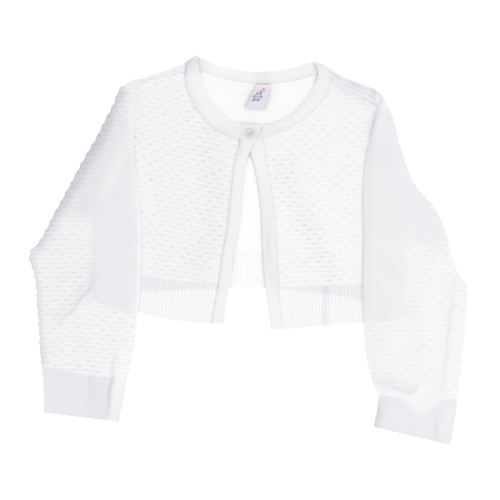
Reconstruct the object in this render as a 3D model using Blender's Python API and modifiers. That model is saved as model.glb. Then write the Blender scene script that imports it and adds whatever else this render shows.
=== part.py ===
"""Child's cropped cardigan in honeycomb knit, laid flat on its back, its sleeves laid down over its sides.

X runs to the viewer's right, Y towards the neck and Z up from the surface. Right and left in names are the
wearer's, so the right front is at the viewer's left. Tables and sizes are in millimetres, and MM makes
metres of them.
"""
import math

import bpy

MM = 0.001

# Cloth and sewing
CLOTH = 1.6  # thickness of the knitted cloth
NECKBAND_CLOTH = 2.2  # thickness of the neckband
LABEL_CLOTH = 0.6  # thickness of the woven label
SEAM = 0.35  # space left at a seam
LAYER = 0.3  # air between layers that lie on each other

# Ribbed welts
RIB_PITCH = 3.5  # from one rib to the next
RIB_RELIEF = 0.6  # how far a rib stands out
RIB_ROWS = 3  # spans from the rib seam to the hem

# Rolls and folds
SHOULDER_ROLL = 2.5  # outer radius of the back's roll over the shoulder
NECKBAND_ROLL = 2.8  # outer radius of the neckband's turn over the shoulder
SLEEVE_EDGE = 2.1  # outer radius of a sleeve's edge folds
SLEEVE_FULLNESS = 1.5  # how far the middle of a sleeve stands above its edges
CUFF_FULLNESS = 1.0
DRAPE_REACH = 17.0  # how far cloth bridges past an edge that it lies over
DRAPE_FALL = 13.0  # length over which it then comes down

# Laps of the front edges
LAP_LIFT = 2.0  # how far the right band is lifted where it lies over the left one
RIGHT_BAND_SLANT = 1.2  # how far each band's free edge rises past its seam at the neck
LEFT_BAND_SLANT = -1.7

# Button: its middle, half its profile as radius and height, and its two holes
BUTTON_AT = (1.8, 121.6)
BUTTON_PROFILE = (
    (0.0, 0.0),
    (3.4, 0.0),
    (4.5, 0.7),
    (4.9, 1.4),
    (4.5, 2.2),
    (4.0, 2.4),
    (3.3, 2.0),
    (2.4, 1.7),
    (0.0, 1.6),
)
BUTTON_HOLE_AT = (1.15, 0.75)  # from the middle, and the other hole as far the other way
BUTTON_HOLE_RADIUS = 0.7

# Label: its two sides from the neck seam to the fold, and the fold's outer radius
LABEL_SIDES = (
    ((8.4, 172.9), (-4.2, 148.1)),
    ((23.6, 172.7), (16.3, 146.5)),
)
LABEL_FOLD = 0.85
LABEL_LIFT = 1.1  # how far the upper leaf bows up

# Colours
CLOTH_COLOUR = (0.86, 0.86, 0.895, 1.0)
RIB_COLOUR = (0.87, 0.865, 0.90, 1.0)
BAND_COLOUR = (0.88, 0.88, 0.91, 1.0)
CUFF_COLOUR = (0.84, 0.84, 0.88, 1.0)
BUTTON_COLOUR = (0.83, 0.78, 0.79, 1.0)
LABEL_COLOUR = (0.80, 0.79, 0.86, 1.0)

# Back welt: x, y of its seam, y of its hem
BACK_WELT = (
    (-166.4, -13.7, -53.0),
    (-111.3, -4.7, -44.1),
    (-37.8, -1.1, -41.5),
    (0.0, 1.2, -39.5),
    (36.8, -0.5, -41.5),
    (101.9, -10.0, -49.5),
    (164.3, -31.0, -71.0),
)

# Front welts: x, y of the seam, y of the hem
RIGHT_WELT = (
    (-166.4, -14.7, -55.1),
    (-112.7, -26.5, -67.0),
    (-79.5, -33.0, -74.8),
    (-32.5, -36.0, -78.5),
)
LEFT_WELT = (
    (31.0, -40.0, -84.8),
    (81.6, -38.4, -80.3),
    (109.5, -36.9, -77.5),
    (164.3, -33.4, -71.9),
)

# Front welts' first and last lines: x at the seam, x at the hem
RIGHT_WELT_ENDS = ((-166.4, -168.0), (-32.6, -40.6))
LEFT_WELT_ENDS = ((31.3, 36.1), (164.3, 163.3))

# Front edges: y, x of the band's seam, x of its free edge
RIGHT_EDGE = (
    (-78.5, -40.2, -26.3),
    (-53.0, -35.7, -23.1),
    (-35.5, -32.2, -19.9),
    (-0.8, -27.4, -15.0),
    (23.8, -22.9, -10.5),
    (52.0, -19.9, -7.9),
    (76.3, -17.4, -5.5),
    (93.5, -14.7, -2.4),
    (104.3, -12.0, 2.1),
    (114.3, -9.4, 7.7),
)
LEFT_EDGE = (
    (-84.8, 35.7, 22.9),
    (-58.3, 33.1, 19.4),
    (-35.5, 30.8, 16.8),
    (-0.5, 29.2, 14.5),
    (34.4, 27.1, 13.1),
    (62.5, 23.6, 10.2),
    (87.3, 18.8, 5.8),
    (104.0, 15.9, 0.5),
    (115.8, 14.2, -2.1),
)

# Right front, side to centre: x at the welt, then x, y part-way up, then x, y at the top, which is the
# armhole, the shoulder seam or the neck
RIGHT_FRONT = (
    (-166.4, -165.9, 10.0, -164.8, 36.0),
    (-153.0, -152.3, 20.0, -151.5, 53.5),
    (-141.0, -140.3, 30.0, -139.5, 72.5),
    (-131.0, -130.5, 40.0, -130.0, 91.5),
    (-121.5, -120.6, 52.0, -119.3, 114.5),
    (-109.5, -107.5, 112.0, -98.2, 178.8),
    (-97.0, -94.0, 108.0, -83.6, 182.5),
    (-85.0, -81.0, 104.0, -69.7, 185.6),
    (-75.0, -70.0, 98.0, -66.1, 172.6),
    (-66.0, -60.0, 90.0, -60.8, 156.8),
    (-57.5, -50.5, 80.0, -52.3, 143.4),
    (-50.0, -41.0, 72.0, -40.6, 129.8),
    (-41.5, -31.0, 62.0, -27.5, 121.4),
    (-32.9, -20.3, 52.0, -9.7, 114.3),
)

# Left front, centre to side
LEFT_FRONT = (
    (31.2, 25.5, 50.0, 14.5, 116.5),
    (39.0, 35.5, 58.0, 25.4, 120.3),
    (47.5, 46.0, 68.0, 41.2, 127.1),
    (56.5, 57.0, 78.0, 57.0, 136.0),
    (66.5, 68.0, 88.0, 69.1, 147.0),
    (76.5, 78.5, 96.0, 79.2, 158.6),
    (86.5, 89.0, 103.0, 84.4, 170.2),
    (96.0, 98.5, 108.0, 86.0, 179.0),
    (106.5, 108.5, 113.0, 101.9, 165.9),
    (117.0, 119.0, 118.0, 117.6, 159.0),
    (127.0, 129.0, 60.0, 131.0, 131.5),
    (137.0, 135.5, 50.0, 133.8, 109.2),
    (146.0, 142.5, 40.0, 138.0, 88.2),
    (153.5, 150.0, 20.0, 146.3, 62.2),
    (159.5, 157.5, 8.0, 155.4, 41.2),
    (164.3, 165.5, -5.0, 166.6, 22.6),
)

# Armhole seams that show: x, y at the underarm end, then x, y at the shoulder seam
RIGHT_ARMHOLE = (-119.3, 114.5, -110.9, 175.6)
LEFT_ARMHOLE = (131.0, 131.5, 130.8, 152.2)

# Back, viewer's left to right: x at the welt, x, y part-way up, x, y at the top, then x, y of the shoulder
# seam or none
BACK = (
    (-166.4, -165.9, 10.0, -164.8, 36.0, None, None),
    (-153.0, -152.3, 20.0, -151.5, 53.5, None, None),
    (-141.0, -140.3, 30.0, -139.5, 72.5, None, None),
    (-131.0, -130.5, 40.0, -130.0, 91.5, None, None),
    (-121.5, -119.3, 114.5, -110.7, 180.4, -110.9, 176.2),
    (-108.0, -106.0, 114.5, -98.7, 184.3, -98.2, 179.4),
    (-94.0, -92.0, 114.5, -85.0, 189.0, -83.6, 183.1),
    (-80.0, -77.0, 114.5, -70.3, 194.2, -69.7, 186.2),
    (-62.0, -60.0, 114.5, -56.2, 187.4, None, None),
    (-42.0, -40.0, 114.5, -37.1, 182.2, None, None),
    (-20.0, -19.0, 114.5, -18.0, 176.8, None, None),
    (3.0, 4.0, 114.5, 4.2, 173.4, None, None),
    (26.0, 26.0, 114.5, 26.2, 173.4, None, None),
    (46.0, 47.0, 114.5, 47.3, 176.2, None, None),
    (61.0, 62.0, 115.0, 63.2, 180.2, None, None),
    (73.0, 74.5, 117.0, 76.8, 185.3, None, None),
    (88.0, 87.0, 121.0, 85.4, 189.6, 86.0, 179.6),
    (101.0, 100.5, 124.0, 100.0, 181.0, 101.9, 166.5),
    (114.0, 116.0, 128.0, 116.3, 174.6, 117.6, 159.6),
    (127.0, 130.9, 131.5, 130.8, 169.2, 130.6, 152.8),
    (137.0, 135.5, 50.0, 133.8, 109.2, None, None),
    (146.0, 142.5, 40.0, 138.0, 88.2, None, None),
    (153.5, 150.0, 20.0, 146.3, 62.2, None, None),
    (159.5, 157.5, 8.0, 155.4, 41.2, None, None),
    (164.3, 165.5, -5.0, 166.6, 22.6, None, None),
)

# Neckband: x, y of its seam edge, then x, y of its free edge
NECK_RIGHT_FRONT = (
    (8.2, 116.3, 14.2, 130.7),
    (3.0, 115.5, 6.0, 130.7),
    (-2.6, 115.3, -0.8, 131.0),
    (-7.0, 115.1, -6.0, 131.7),
    (-11.9, 115.6, -11.0, 133.0),
    (-27.3, 121.8, -22.1, 137.6),
    (-40.4, 130.2, -32.6, 146.5),
    (-52.0, 143.8, -42.0, 159.6),
    (-60.4, 157.0, -48.3, 173.8),
    (-65.7, 172.7, -52.0, 187.4),
    (-67.6, 186.0, -53.6, 196.5),
)
NECK_BACK = (
    (-65.0, 190.8, -51.6, 201.4),
    (-55.9, 187.8, -44.1, 199.0),
    (-37.0, 182.6, -30.5, 193.0),
    (-17.9, 177.2, -13.7, 188.9),
    (4.2, 173.8, 5.2, 187.2),
    (26.2, 173.8, 24.2, 187.6),
    (47.2, 176.6, 41.0, 189.8),
    (63.0, 180.6, 53.6, 193.7),
    (76.6, 185.8, 62.6, 196.9),
)
NECK_LEFT_FRONT = (
    (84.2, 181.4, 71.0, 192.0),
    (84.0, 170.6, 72.5, 183.2),
    (78.8, 159.1, 68.2, 171.7),
    (68.8, 147.5, 60.9, 159.1),
    (56.8, 136.5, 50.4, 147.0),
    (41.0, 127.6, 37.8, 137.6),
    (25.2, 120.8, 23.1, 132.1),
    (14.2, 117.1, 12.5, 130.6),
    (5.0, 115.9, 5.0, 130.2),
    (-2.1, 115.3, -3.2, 130.1),
)

# Neckband's turn at each shoulder: x, y of the seam end and of the free end of the line that shows
NECK_TURN_RIGHT = (-68.5, 195.3, -55.1, 204.8)
NECK_TURN_LEFT = (84.1, 190.9, 68.8, 198.8)

# Sleeves, shoulder to cuff: x, y of the outer edge, then x, y of the edge by the body
RIGHT_SLEEVE = (
    (-111.3, 180.1, -119.7, 115.0),
    (-125.0, 176.4, -120.8, 107.6),
    (-136.0, 168.5, -119.7, 97.1),
    (-142.2, 153.2, -118.7, 86.6),
    (-149.4, 139.4, -117.6, 76.1),
    (-159.9, 118.4, -116.6, 62.5),
    (-174.0, 94.0, -115.2, 47.8),
    (-186.2, 71.2, -113.7, 33.1),
    (-198.5, 48.5, -112.9, 18.4),
    (-209.0, 29.2, -112.7, 3.7),
    (-219.5, 8.9, -113.2, -8.9),
    (-228.9, -0.5, -113.6, -19.4),
    (-230.7, -9.5, -114.1, -29.0),
    (-226.5, -22.5, -114.5, -39.5),
    (-223.7, -38.5, -115.0, -53.0),
    (-222.3, -60.1, -116.2, -70.0),
    (-220.6, -82.0, -117.9, -89.0),
    (-219.4, -106.0, -120.6, -111.0),
    (-216.6, -131.0, -126.6, -134.4),
)
LEFT_SLEEVE = (
    (132.0, 169.3, 131.6, 131.8),
    (138.6, 163.3, 128.6, 124.5),
    (143.8, 154.9, 126.5, 115.0),
    (149.9, 142.0, 124.2, 105.0),
    (154.4, 127.5, 122.2, 92.0),
    (160.3, 104.5, 120.3, 73.0),
    (167.3, 83.5, 119.7, 55.1),
    (176.1, 65.9, 119.6, 39.4),
    (190.1, 50.2, 119.9, 22.6),
    (200.6, 34.4, 119.9, 6.8),
    (207.6, 17.0, 119.5, -8.0),
    (212.8, -4.0, 119.1, -24.5),
    (220.4, -25.0, 119.2, -41.5),
    (229.2, -36.5, 119.4, -53.5),
    (230.3, -51.0, 119.7, -66.5),
    (228.2, -74.0, 120.1, -84.5),
    (226.3, -98.0, 121.6, -104.0),
    (223.4, -122.0, 125.3, -124.5),
    (221.0, -142.0, 130.2, -141.0),
    (219.5, -157.2, 135.8, -153.9),
)
RIGHT_CUFF = (
    (-216.4, -131.4, -127.0, -134.8),
    (-215.4, -144.0, -129.3, -146.8),
    (-215.1, -158.0, -132.5, -163.8),
    (-215.0, -171.2, -136.3, -180.6),
)
LEFT_CUFF = (
    (219.2, -157.6, 136.4, -154.4),
    (217.4, -173.0, 134.8, -164.5),
    (214.8, -189.0, 132.7, -175.5),
    (212.1, -205.3, 130.6, -186.2),
)

# Shoulder seams: x, y
RIGHT_SHOULDER = ((-111.0, 175.9), (-69.7, 185.9))
LEFT_SHOULDER = ((86.0, 179.3), (101.9, 166.2), (117.6, 159.3), (130.8, 152.5))

# Ways that the back rolls over, square to each shoulder seam
RIGHT_ROLL_WAY = (-0.33, 0.944)
LEFT_ROLL_WAY = (0.40, 0.917)

# Edges of the body that the sleeves cover, from the armhole's shown end down the side: x, y
RIGHT_SIDE = (
    (-119.3, 114.5),
    (-130.0, 91.5),
    (-139.5, 72.5),
    (-151.5, 53.5),
    (-164.8, 36.0),
    (-166.4, -14.0),
    (-168.0, -55.1),
)
LEFT_SIDE = (
    (131.0, 131.5),
    (133.8, 109.2),
    (138.0, 88.2),
    (146.3, 62.2),
    (155.4, 41.2),
    (166.6, 22.6),
    (164.3, -33.4),
    (163.3, -71.9),
)

# Soft ridges and troughs of the fronts: height, reach, points x, y along it
FRONT_CREASES = (
    (1.2, 20.0, ((58.0, 96.0), (76.0, 34.0), (92.0, -28.0))),
    (0.9, 17.0, ((34.0, 46.0), (46.0, 0.0), (56.0, -30.0))),
    (1.1, 22.0, ((-84.0, 140.0), (-78.0, 90.0), (-64.0, 40.0))),
    (0.8, 20.0, ((-92.0, 20.0), (-58.0, -16.0), (-44.0, -30.0))),
    (0.9, 13.0, ((104.0, 150.0), (118.0, 142.0), (121.0, 118.0))),
)

# Soft ridges and troughs of the sleeves' upper walls
SLEEVE_CREASES = (
    (1.6, 10.0, ((-124.0, 163.0), (-125.5, 130.0), (-124.0, 104.0))),
    (1.5, 16.0, ((-150.0, 118.0), (-164.0, 74.0), (-178.0, 36.0))),
    (2.0, 17.0, ((-158.0, -22.0), (-184.0, -38.0), (-208.0, -58.0))),
    (-1.6, 9.0, ((-165.0, -36.0), (-176.0, -54.0), (-186.0, -67.0), (-202.0, -82.0))),
    (1.4, 13.0, ((-176.0, -78.0), (-166.0, -104.0), (-158.0, -130.0))),
    (-1.5, 8.0, ((-142.0, -92.0), (-138.0, -112.0), (-140.0, -130.0))),
    (1.2, 15.0, ((-196.0, -90.0), (-198.0, -112.0), (-194.0, -128.0))),
    (1.7, 10.0, ((136.0, 152.0), (133.0, 130.0), (133.0, 104.0))),
    (1.3, 17.0, ((146.0, 110.0), (152.0, 62.0), (160.0, 20.0))),
    (-1.4, 9.0, ((217.0, -30.0), (211.0, -53.0), (209.0, -88.0), (207.6, -123.0), (204.0, -152.0))),
    (1.6, 15.0, ((190.0, -30.0), (180.0, -72.0), (184.0, -110.0))),
    (1.3, 14.0, ((148.0, -60.0), (146.0, -96.0), (152.0, -124.0))),
    (-1.3, 7.0, ((135.0, -139.0), (146.0, -139.5), (160.0, -146.0), (174.0, -150.0))),
    (1.6, 10.0, ((196.0, -128.0), (206.0, -142.0), (212.0, -150.0))),
)
CUFF_CREASES = (
    (1.3, 13.0, ((-158.0, -136.0), (-160.0, -158.0), (-162.0, -174.0))),
    (-1.0, 7.0, ((-145.0, -138.0), (-146.0, -158.0), (-146.0, -178.0))),
    (1.4, 9.0, ((140.0, -160.0), (158.0, -168.0), (176.0, -173.0))),
    (-0.9, 6.0, ((197.5, -184.0), (197.0, -198.0))),
    (1.2, 11.0, ((205.0, -164.0), (190.0, -176.0), (184.0, -192.0))),
)


def smooth(t):
    """0 below 0, 1 above 1 and a soft S between."""
    t = min(max(t, 0.0), 1.0)
    return t * t * (3.0 - 2.0 * t)


def read(table, value, column):
    """A table's column where its first column is value, straight between rows and level past its ends."""
    rows = sorted(table)
    if value <= rows[0][0]:
        return rows[0][column]
    for low, high in zip(rows, rows[1:]):
        if value <= high[0]:
            share = (value - low[0]) / (high[0] - low[0])
            return low[column] + share * (high[column] - low[column])
    return rows[-1][column]


def between(a, b, share):
    """The point a share of the way from a to b."""
    return tuple(p + share * (q - p) for p, q in zip(a, b))


def off_line(points, x, y):
    """Distance from a line of points, below 0 at the right hand of somebody who walks along it."""
    best, side = 1e9, 1.0
    for a, b in zip(points, points[1:]):
        run = (b[0] - a[0], b[1] - a[1])
        share = ((x - a[0]) * run[0] + (y - a[1]) * run[1]) / (run[0] ** 2 + run[1] ** 2)
        near = between(a, b, min(max(share, 0.0), 1.0))
        away = math.hypot(x - near[0], y - near[1])
        if away < best - 1e-9:
            best = away
            side = 1.0 if run[0] * (y - a[1]) - run[1] * (x - a[0]) > 0 else -1.0
    return best * side


def creases(table, x, y):
    """What the ridges and troughs of a table add to the height at a point."""
    total = 0.0
    for height, reach, points in table:
        total += height * smooth(1.0 - abs(off_line(points, x, y)) / reach)
    return total


def shoulder_seam(x):
    """Y of the shoulder seam nearest to x."""
    return read(RIGHT_SHOULDER if x < 0 else LEFT_SHOULDER, x, 1)


def front_height(x, y):
    """Height of the underside of a front: on the back, up to the shoulder seam, down past the back's hem."""
    on_back = CLOTH + LAYER
    rise = (2.0 * SHOULDER_ROLL - CLOTH - on_back) * smooth((y - shoulder_seam(x) + 11.0) / 10.5)
    past_hem = read(BACK_WELT, x, 2) - y
    fall = smooth((past_hem - 14.0) / 10.0)
    soft = creases(FRONT_CREASES, x, y) * smooth((shoulder_seam(x) - y) / 15.0)
    return on_back * (1.0 - fall) + rise + soft * smooth((y + 36.0) / 14.0)


def sleeve_height(x, y):
    """Height of what a sleeve lies on: the body's two layers, then down to the surface past their edges."""
    side = off_line(RIGHT_SIDE, x, y) if x < 0 else -off_line(LEFT_SIDE, x, y)
    hem = y - read(RIGHT_WELT if x < 0 else LEFT_WELT, x, 2)
    stack = 2.0 * (CLOTH + LAYER) + RIB_RELIEF
    past_side = smooth((side + DRAPE_REACH + DRAPE_FALL) / DRAPE_FALL)
    past_hem = smooth((hem + DRAPE_REACH + DRAPE_FALL) / DRAPE_FALL)
    return stack * past_side * past_hem


def make_material(name, colour, roughness):
    """A plain coloured material."""
    material = bpy.data.materials.new(name)
    material.use_nodes = True
    shader = material.node_tree.nodes["Principled BSDF"]
    shader.inputs["Base Color"].default_value = colour
    shader.inputs["Roughness"].default_value = roughness
    shader.inputs["Metallic"].default_value = 0.0
    material.diffuse_color = colour
    return material


def make_object(name, points, faces, colour, roughness=0.9, collection="cardigan"):
    """An object of the collection from points in millimetres."""
    mesh = bpy.data.meshes.new(name)
    mesh.from_pydata([tuple(c * MM for c in p) for p in points], [], faces)
    mesh.validate()
    made = bpy.data.objects.new(name, mesh)
    made.data.materials.append(make_material(name, colour, roughness))
    bpy.data.collections[collection].objects.link(made)
    return made


def make_cloth(name, lines, thickness, colour, outside_down, closed=False, relief=None):
    """Cloth between lines of points side by side; a longer line goes on alone past a shorter one.

    outside_down says that the first face looks at the surface, and the thickness lies behind the faces. relief
    gives each line's share of the thickness, which then lies in front of them.
    """
    starts = [0]
    for line in lines:
        starts.append(starts[-1] + len(line))
    points = [point for line in lines for point in line]
    faces = []
    pairs = [(i, i + 1) for i in range(len(lines) - 1)]
    if closed:
        pairs.append((len(lines) - 1, 0))
    for i, k in pairs:
        for j in range(min(len(lines[i]), len(lines[k])) - 1):
            faces.append((starts[i] + j, starts[k] + j, starts[k] + j + 1, starts[i] + j + 1))
    made = make_object(name, points, faces, colour)
    made.data.update()
    if (made.data.polygons[0].normal.z < 0.0) != outside_down:
        made.data.flip_normals()
    wall = made.modifiers.new("Cloth", "SOLIDIFY")
    wall.thickness = thickness * MM
    wall.offset = -1.0
    wall.use_even_offset = True
    if relief:
        wall.offset = 1.0
        group = made.vertex_groups.new(name="Ribs")
        for i, line in enumerate(lines):
            group.add(list(range(starts[i], starts[i + 1])), relief[i], "REPLACE")
        wall.vertex_group = "Ribs"
        wall.use_even_offset = False
    return made


def line_up(a, b, c, spans_low, spans_high):
    """Points from a to c by way of b."""
    low = [between(a, b, j / spans_low) for j in range(spans_low)]
    return low + [between(b, c, j / spans_high) for j in range(spans_high + 1)]


def raise_points(line, height, add):
    """The line's points at a height, with add on top."""
    return [(x, y, height(x, y) + add) for x, y in line]


def front_lines(table, welt, armhole, edge):
    """Lines of a front panel, those by the side short and those under the shoulder long."""
    low, high = 8, 8
    lines = []
    for row in table:
        foot = (row[0], read(welt, row[0], 1) + SEAM)
        mid, top = (row[1], row[2]), (row[3], row[4])
        side = abs(top[0]) > abs(armhole[0]) + 0.01
        if side:
            lines.append(line_up(foot, mid, top, low // 2, low // 2))
        elif top == armhole[:2]:
            line = line_up(foot, mid, top, low // 2, low // 2)
            line += [between(top, armhole[2:], j / high) for j in range(1, high + 1)]
            lines.append(line)
        else:
            lines.append(line_up(foot, mid, top, low, high))
    end = 0 if abs(table[0][0]) < abs(table[-1][0]) else -1
    away = 1.0 if table[end][0] > 0 else -1.0
    lines[end] = [(read(edge, y, 1) + away * SEAM, y) for x, y in lines[end]]
    return lines


def build_fronts():
    """Both front panels; returns the lines beside their bands."""
    right = front_lines(RIGHT_FRONT, RIGHT_WELT, RIGHT_ARMHOLE, RIGHT_EDGE)
    left = front_lines(LEFT_FRONT, LEFT_WELT, LEFT_ARMHOLE, LEFT_EDGE)
    for name, lines in (("front_right", right), ("front_left", left)):
        raised = [raise_points(line, front_height, CLOTH) for line in lines]
        make_cloth(name, raised, CLOTH, CLOTH_COLOUR, outside_down=False)
    return right[-1], left[0]


def build_front_welt(name, welt, edge, start, end):
    """A front's ribbed welt, its ribs raised on the outside; returns the line beside its band.

    start and end hold x at the seam and x at the hem, of the welt's first and last lines.
    """
    columns = 2 * round(abs(end[0] - start[0]) / RIB_PITCH)
    lines, relief = [], []
    for i in range(columns + 1):
        x_top, x_foot = between(start, end, i / columns)
        top = (x_top, read(welt, x_top, 1) - SEAM)
        foot = (x_foot, read(welt, x_foot, 2))
        lines.append([between(top, foot, j / RIB_ROWS) for j in range(RIB_ROWS + 1)])
        relief.append(1.0 if i % 2 else CLOTH / (CLOTH + RIB_RELIEF))
    by_band = 0 if abs(start[0]) < abs(end[0]) else -1
    away = 1.0 if start[0] > 0 else -1.0
    lines[by_band] = [(read(edge, y, 1) + away * SEAM, y) for x, y in lines[by_band]]
    raised = [raise_points(line, front_height, 0.0) for line in lines]
    make_cloth(name, raised, CLOTH + RIB_RELIEF, RIB_COLOUR, outside_down=False, relief=relief)
    return lines[by_band]


def build_back():
    """The back panel with its roll over each shoulder, and its welt."""
    low, high = 6, 7
    lines, welt = [], []
    for x_foot, x_mid, y_mid, x_top, y_top, x_seam, y_seam in BACK:
        foot = (x_foot, read(BACK_WELT, x_foot, 1) + SEAM)
        mid, top = (x_mid, y_mid), (x_top, y_top)
        if x_seam is None and abs(x_top) > 120.0:
            line = line_up(foot, mid, top, 3, 3)
        elif x_seam is None:
            line = line_up(foot, mid, top, low, high)
        else:
            out = RIGHT_ROLL_WAY if x_top < 0 else LEFT_ROLL_WAY
            start = (x_top - out[0] * SHOULDER_ROLL, y_top - out[1] * SHOULDER_ROLL)
            line = line_up(foot, mid, start, low, high)
        flat = [(x, y, 0.0) for x, y in line]
        if x_seam is not None:
            for turn in (36, 72, 108, 144, 180):
                angle = math.radians(turn)
                reach = SHOULDER_ROLL * math.sin(angle)
                rise = SHOULDER_ROLL * (1.0 - math.cos(angle))
                flat.append((start[0] + out[0] * reach, start[1] + out[1] * reach, rise))
            over = (x_seam, y_seam, 2.0 * SHOULDER_ROLL)
            flat.append(between(flat[-1], over, 0.5))
            flat.append(over)
        lines.append(flat)
        top = (x_foot, read(BACK_WELT, x_foot, 1) - SEAM)
        hem = (x_foot + 0.004 * x_foot, read(BACK_WELT, x_foot, 2))
        welt.append([between(top, hem, j / 3) + (0.0,) for j in range(4)])
    make_cloth("back", lines, CLOTH, CLOTH_COLOUR, outside_down=True)
    make_cloth("back_hem_rib", welt, CLOTH, RIB_COLOUR, outside_down=True)


def lap_height(x, y):
    """How far the right front's edge is lifted where it laps over the left one."""
    return LAP_LIFT * smooth((x + 12.0) / 6.5) * smooth((y - 90.0) / 10.0)


def build_bands(right_edge, left_edge):
    """The two front bands, along the lines of the fronts that they are sewn to."""
    for name, line, edge, away, lapped, slant in (
        ("front_band_right", right_edge, RIGHT_EDGE, 1.0, True, RIGHT_BAND_SLANT),
        ("front_band_left", left_edge, LEFT_EDGE, -1.0, False, LEFT_BAND_SLANT),
    ):
        lines = [[] for _ in range(4)]
        for x, y in line:
            seam = (x + away * SEAM, y)
            free = (read(edge, y, 2), y + slant * smooth((y - 95.0) / 19.0))
            for i, share in enumerate((0.0, 0.35, 0.7, 1.0)):
                px, py = between(seam, free, share)
                height = front_height(px, py) + CLOTH
                if lapped:
                    height += lap_height(px, py)
                lines[i].append((px, py, height))
        make_cloth(name, lines, CLOTH, BAND_COLOUR, outside_down=False)


def build_neckband():
    """The neckband: right front, over the shoulder, round the back, over the other shoulder, left front."""
    shares = (0.0, 0.34, 0.67, 1.0)
    lines = []

    def across(row, height):
        """One line across the band."""
        seam, free = row[:2], row[2:]
        made = []
        for share in shares:
            x, y = between(seam, free, share)
            made.append((x, y, height(x, y)))
        return made

    def turn(line, up):
        """The band's turn over a shoulder, from the front to the back or up from it."""
        seam, free = line[:2], line[2:]
        run = math.hypot(free[0] - seam[0], free[1] - seam[1])
        out = (-(free[1] - seam[1]) / run, (free[0] - seam[0]) / run)
        if out[1] < 0:
            out = (-out[0], -out[1])
        angles = (0, 36, 72, 108, 144, 180)
        made = []
        for degrees in angles if up else reversed(angles):
            angle = math.radians(degrees)
            rise = NECKBAND_ROLL * (1.0 - math.cos(angle))
            reach = NECKBAND_ROLL * (math.sin(angle) - 1.0)
            points = []
            for share in shares:
                x, y = between(seam, free, share)
                points.append((x + out[0] * reach, y + out[1] * reach, rise))
            made.append(points)
        return made

    def right_top(x, y):
        """Height of the right end, which rises where it laps over the left one."""
        lift = (NECKBAND_CLOTH + LAYER) * smooth((x + 12.5) / 8.5)
        return front_height(x, y) + NECKBAND_CLOTH + lift

    def left_top(x, y):
        """Height of the left end, which lies on the front."""
        return front_height(x, y) + NECKBAND_CLOTH

    for row in NECK_RIGHT_FRONT:
        lines.append(across(row, right_top))
    lines += turn(NECK_TURN_RIGHT, up=False)
    for row in NECK_BACK:
        lines.append(across(row, lambda x, y: 0.0))
    lines += turn(NECK_TURN_LEFT, up=True)
    for row in NECK_LEFT_FRONT:
        lines.append(across(row, left_top))
    make_cloth("neckband", lines, NECKBAND_CLOTH, BAND_COLOUR, outside_down=False)


def make_ring(outer, inner, fullness, table):
    """The outside of a flattened tube across one line: under wall, fold, upper wall, fold."""
    width = math.hypot(inner[0] - outer[0], inner[1] - outer[1])
    edge = SLEEVE_EDGE
    least = 2.0 * CLOTH + LAYER
    ring = []

    def place(along):
        """The point that far in from the outer edge."""
        return between(outer, inner, along / width)

    under, over = 9, 11
    for i in range(under):
        along = edge + (width - 2.0 * edge) * i / (under - 1)
        x, y = place(along)
        ring.append((x, y, sleeve_height(x, y)))
    x, y = place(width - edge)
    base = sleeve_height(x, y)
    for degrees in (-54, -18, 18, 54):
        angle = math.radians(degrees)
        x, y = place(width - edge + edge * math.cos(angle))
        ring.append((x, y, base + edge + edge * math.sin(angle)))
    for i in range(over):
        share = i / (over - 1)
        x, y = place(width - edge - (width - 2.0 * edge) * share)
        soft = 4.0 * share * (1.0 - share)
        high = 2.0 * edge + fullness * soft + creases(table, x, y) * min(1.0, 3.0 * soft)
        ring.append((x, y, sleeve_height(x, y) + max(high, least)))
    x, y = place(edge)
    base = sleeve_height(x, y)
    for degrees in (54, 18, -18, -54):
        angle = math.radians(degrees)
        x, y = place(edge - edge * math.cos(angle))
        ring.append((x, y, base + edge + edge * math.sin(angle)))
    return ring


def build_tube(name, table, fullness, crease_table, colour):
    """A sleeve or a cuff: rings from its table, one wall all round."""
    rings = [make_ring(row[:2], row[2:], fullness, crease_table) for row in table]
    around = [[ring[i] for ring in rings] for i in range(len(rings[0]))]
    make_cloth(name, around, CLOTH, colour, outside_down=True, closed=True)


def build_button():
    """The button: a turned disc with a raised rim and two holes."""
    base = front_height(*BUTTON_AT) + 2.0 * (NECKBAND_CLOTH + LAYER)
    points = [(x * MM, 0.0, z * MM) for x, z in BUTTON_PROFILE]
    edges = [(i, i + 1) for i in range(len(points) - 1)]
    mesh = bpy.data.meshes.new("button")
    mesh.from_pydata(points, edges, [])
    button = bpy.data.objects.new("button", mesh)
    button.location = (BUTTON_AT[0] * MM, BUTTON_AT[1] * MM, base * MM)
    button.data.materials.append(make_material("button", BUTTON_COLOUR, 0.25))
    bpy.data.collections["cardigan"].objects.link(button)
    turned = button.modifiers.new("Turned", "SCREW")
    turned.angle = 2.0 * math.pi
    turned.steps = 24
    turned.render_steps = 24
    turned.axis = "Z"
    turned.use_merge_vertices = True
    turned.merge_threshold = 0.00001
    turned.use_normal_calculate = True
    for side in (-1.0, 1.0):
        x = BUTTON_AT[0] + side * BUTTON_HOLE_AT[0]
        y = BUTTON_AT[1] + side * BUTTON_HOLE_AT[1]
        bpy.ops.mesh.primitive_cylinder_add(
            vertices=10,
            radius=BUTTON_HOLE_RADIUS * MM,
            depth=6.0 * MM,
            location=(x * MM, y * MM, (base + 1.0) * MM),
        )
        cutter = bpy.context.object
        cutter.name = "button_hole_cutter"
        for held in list(cutter.users_collection):
            held.objects.unlink(cutter)
        bpy.data.collections["cutters"].objects.link(cutter)
        cutter.hide_render = True
        cutter.display_type = "WIRE"
        hole = button.modifiers.new("Hole", "BOOLEAN")
        hole.operation = "DIFFERENCE"
        hole.solver = "EXACT"
        hole.object = cutter


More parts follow.
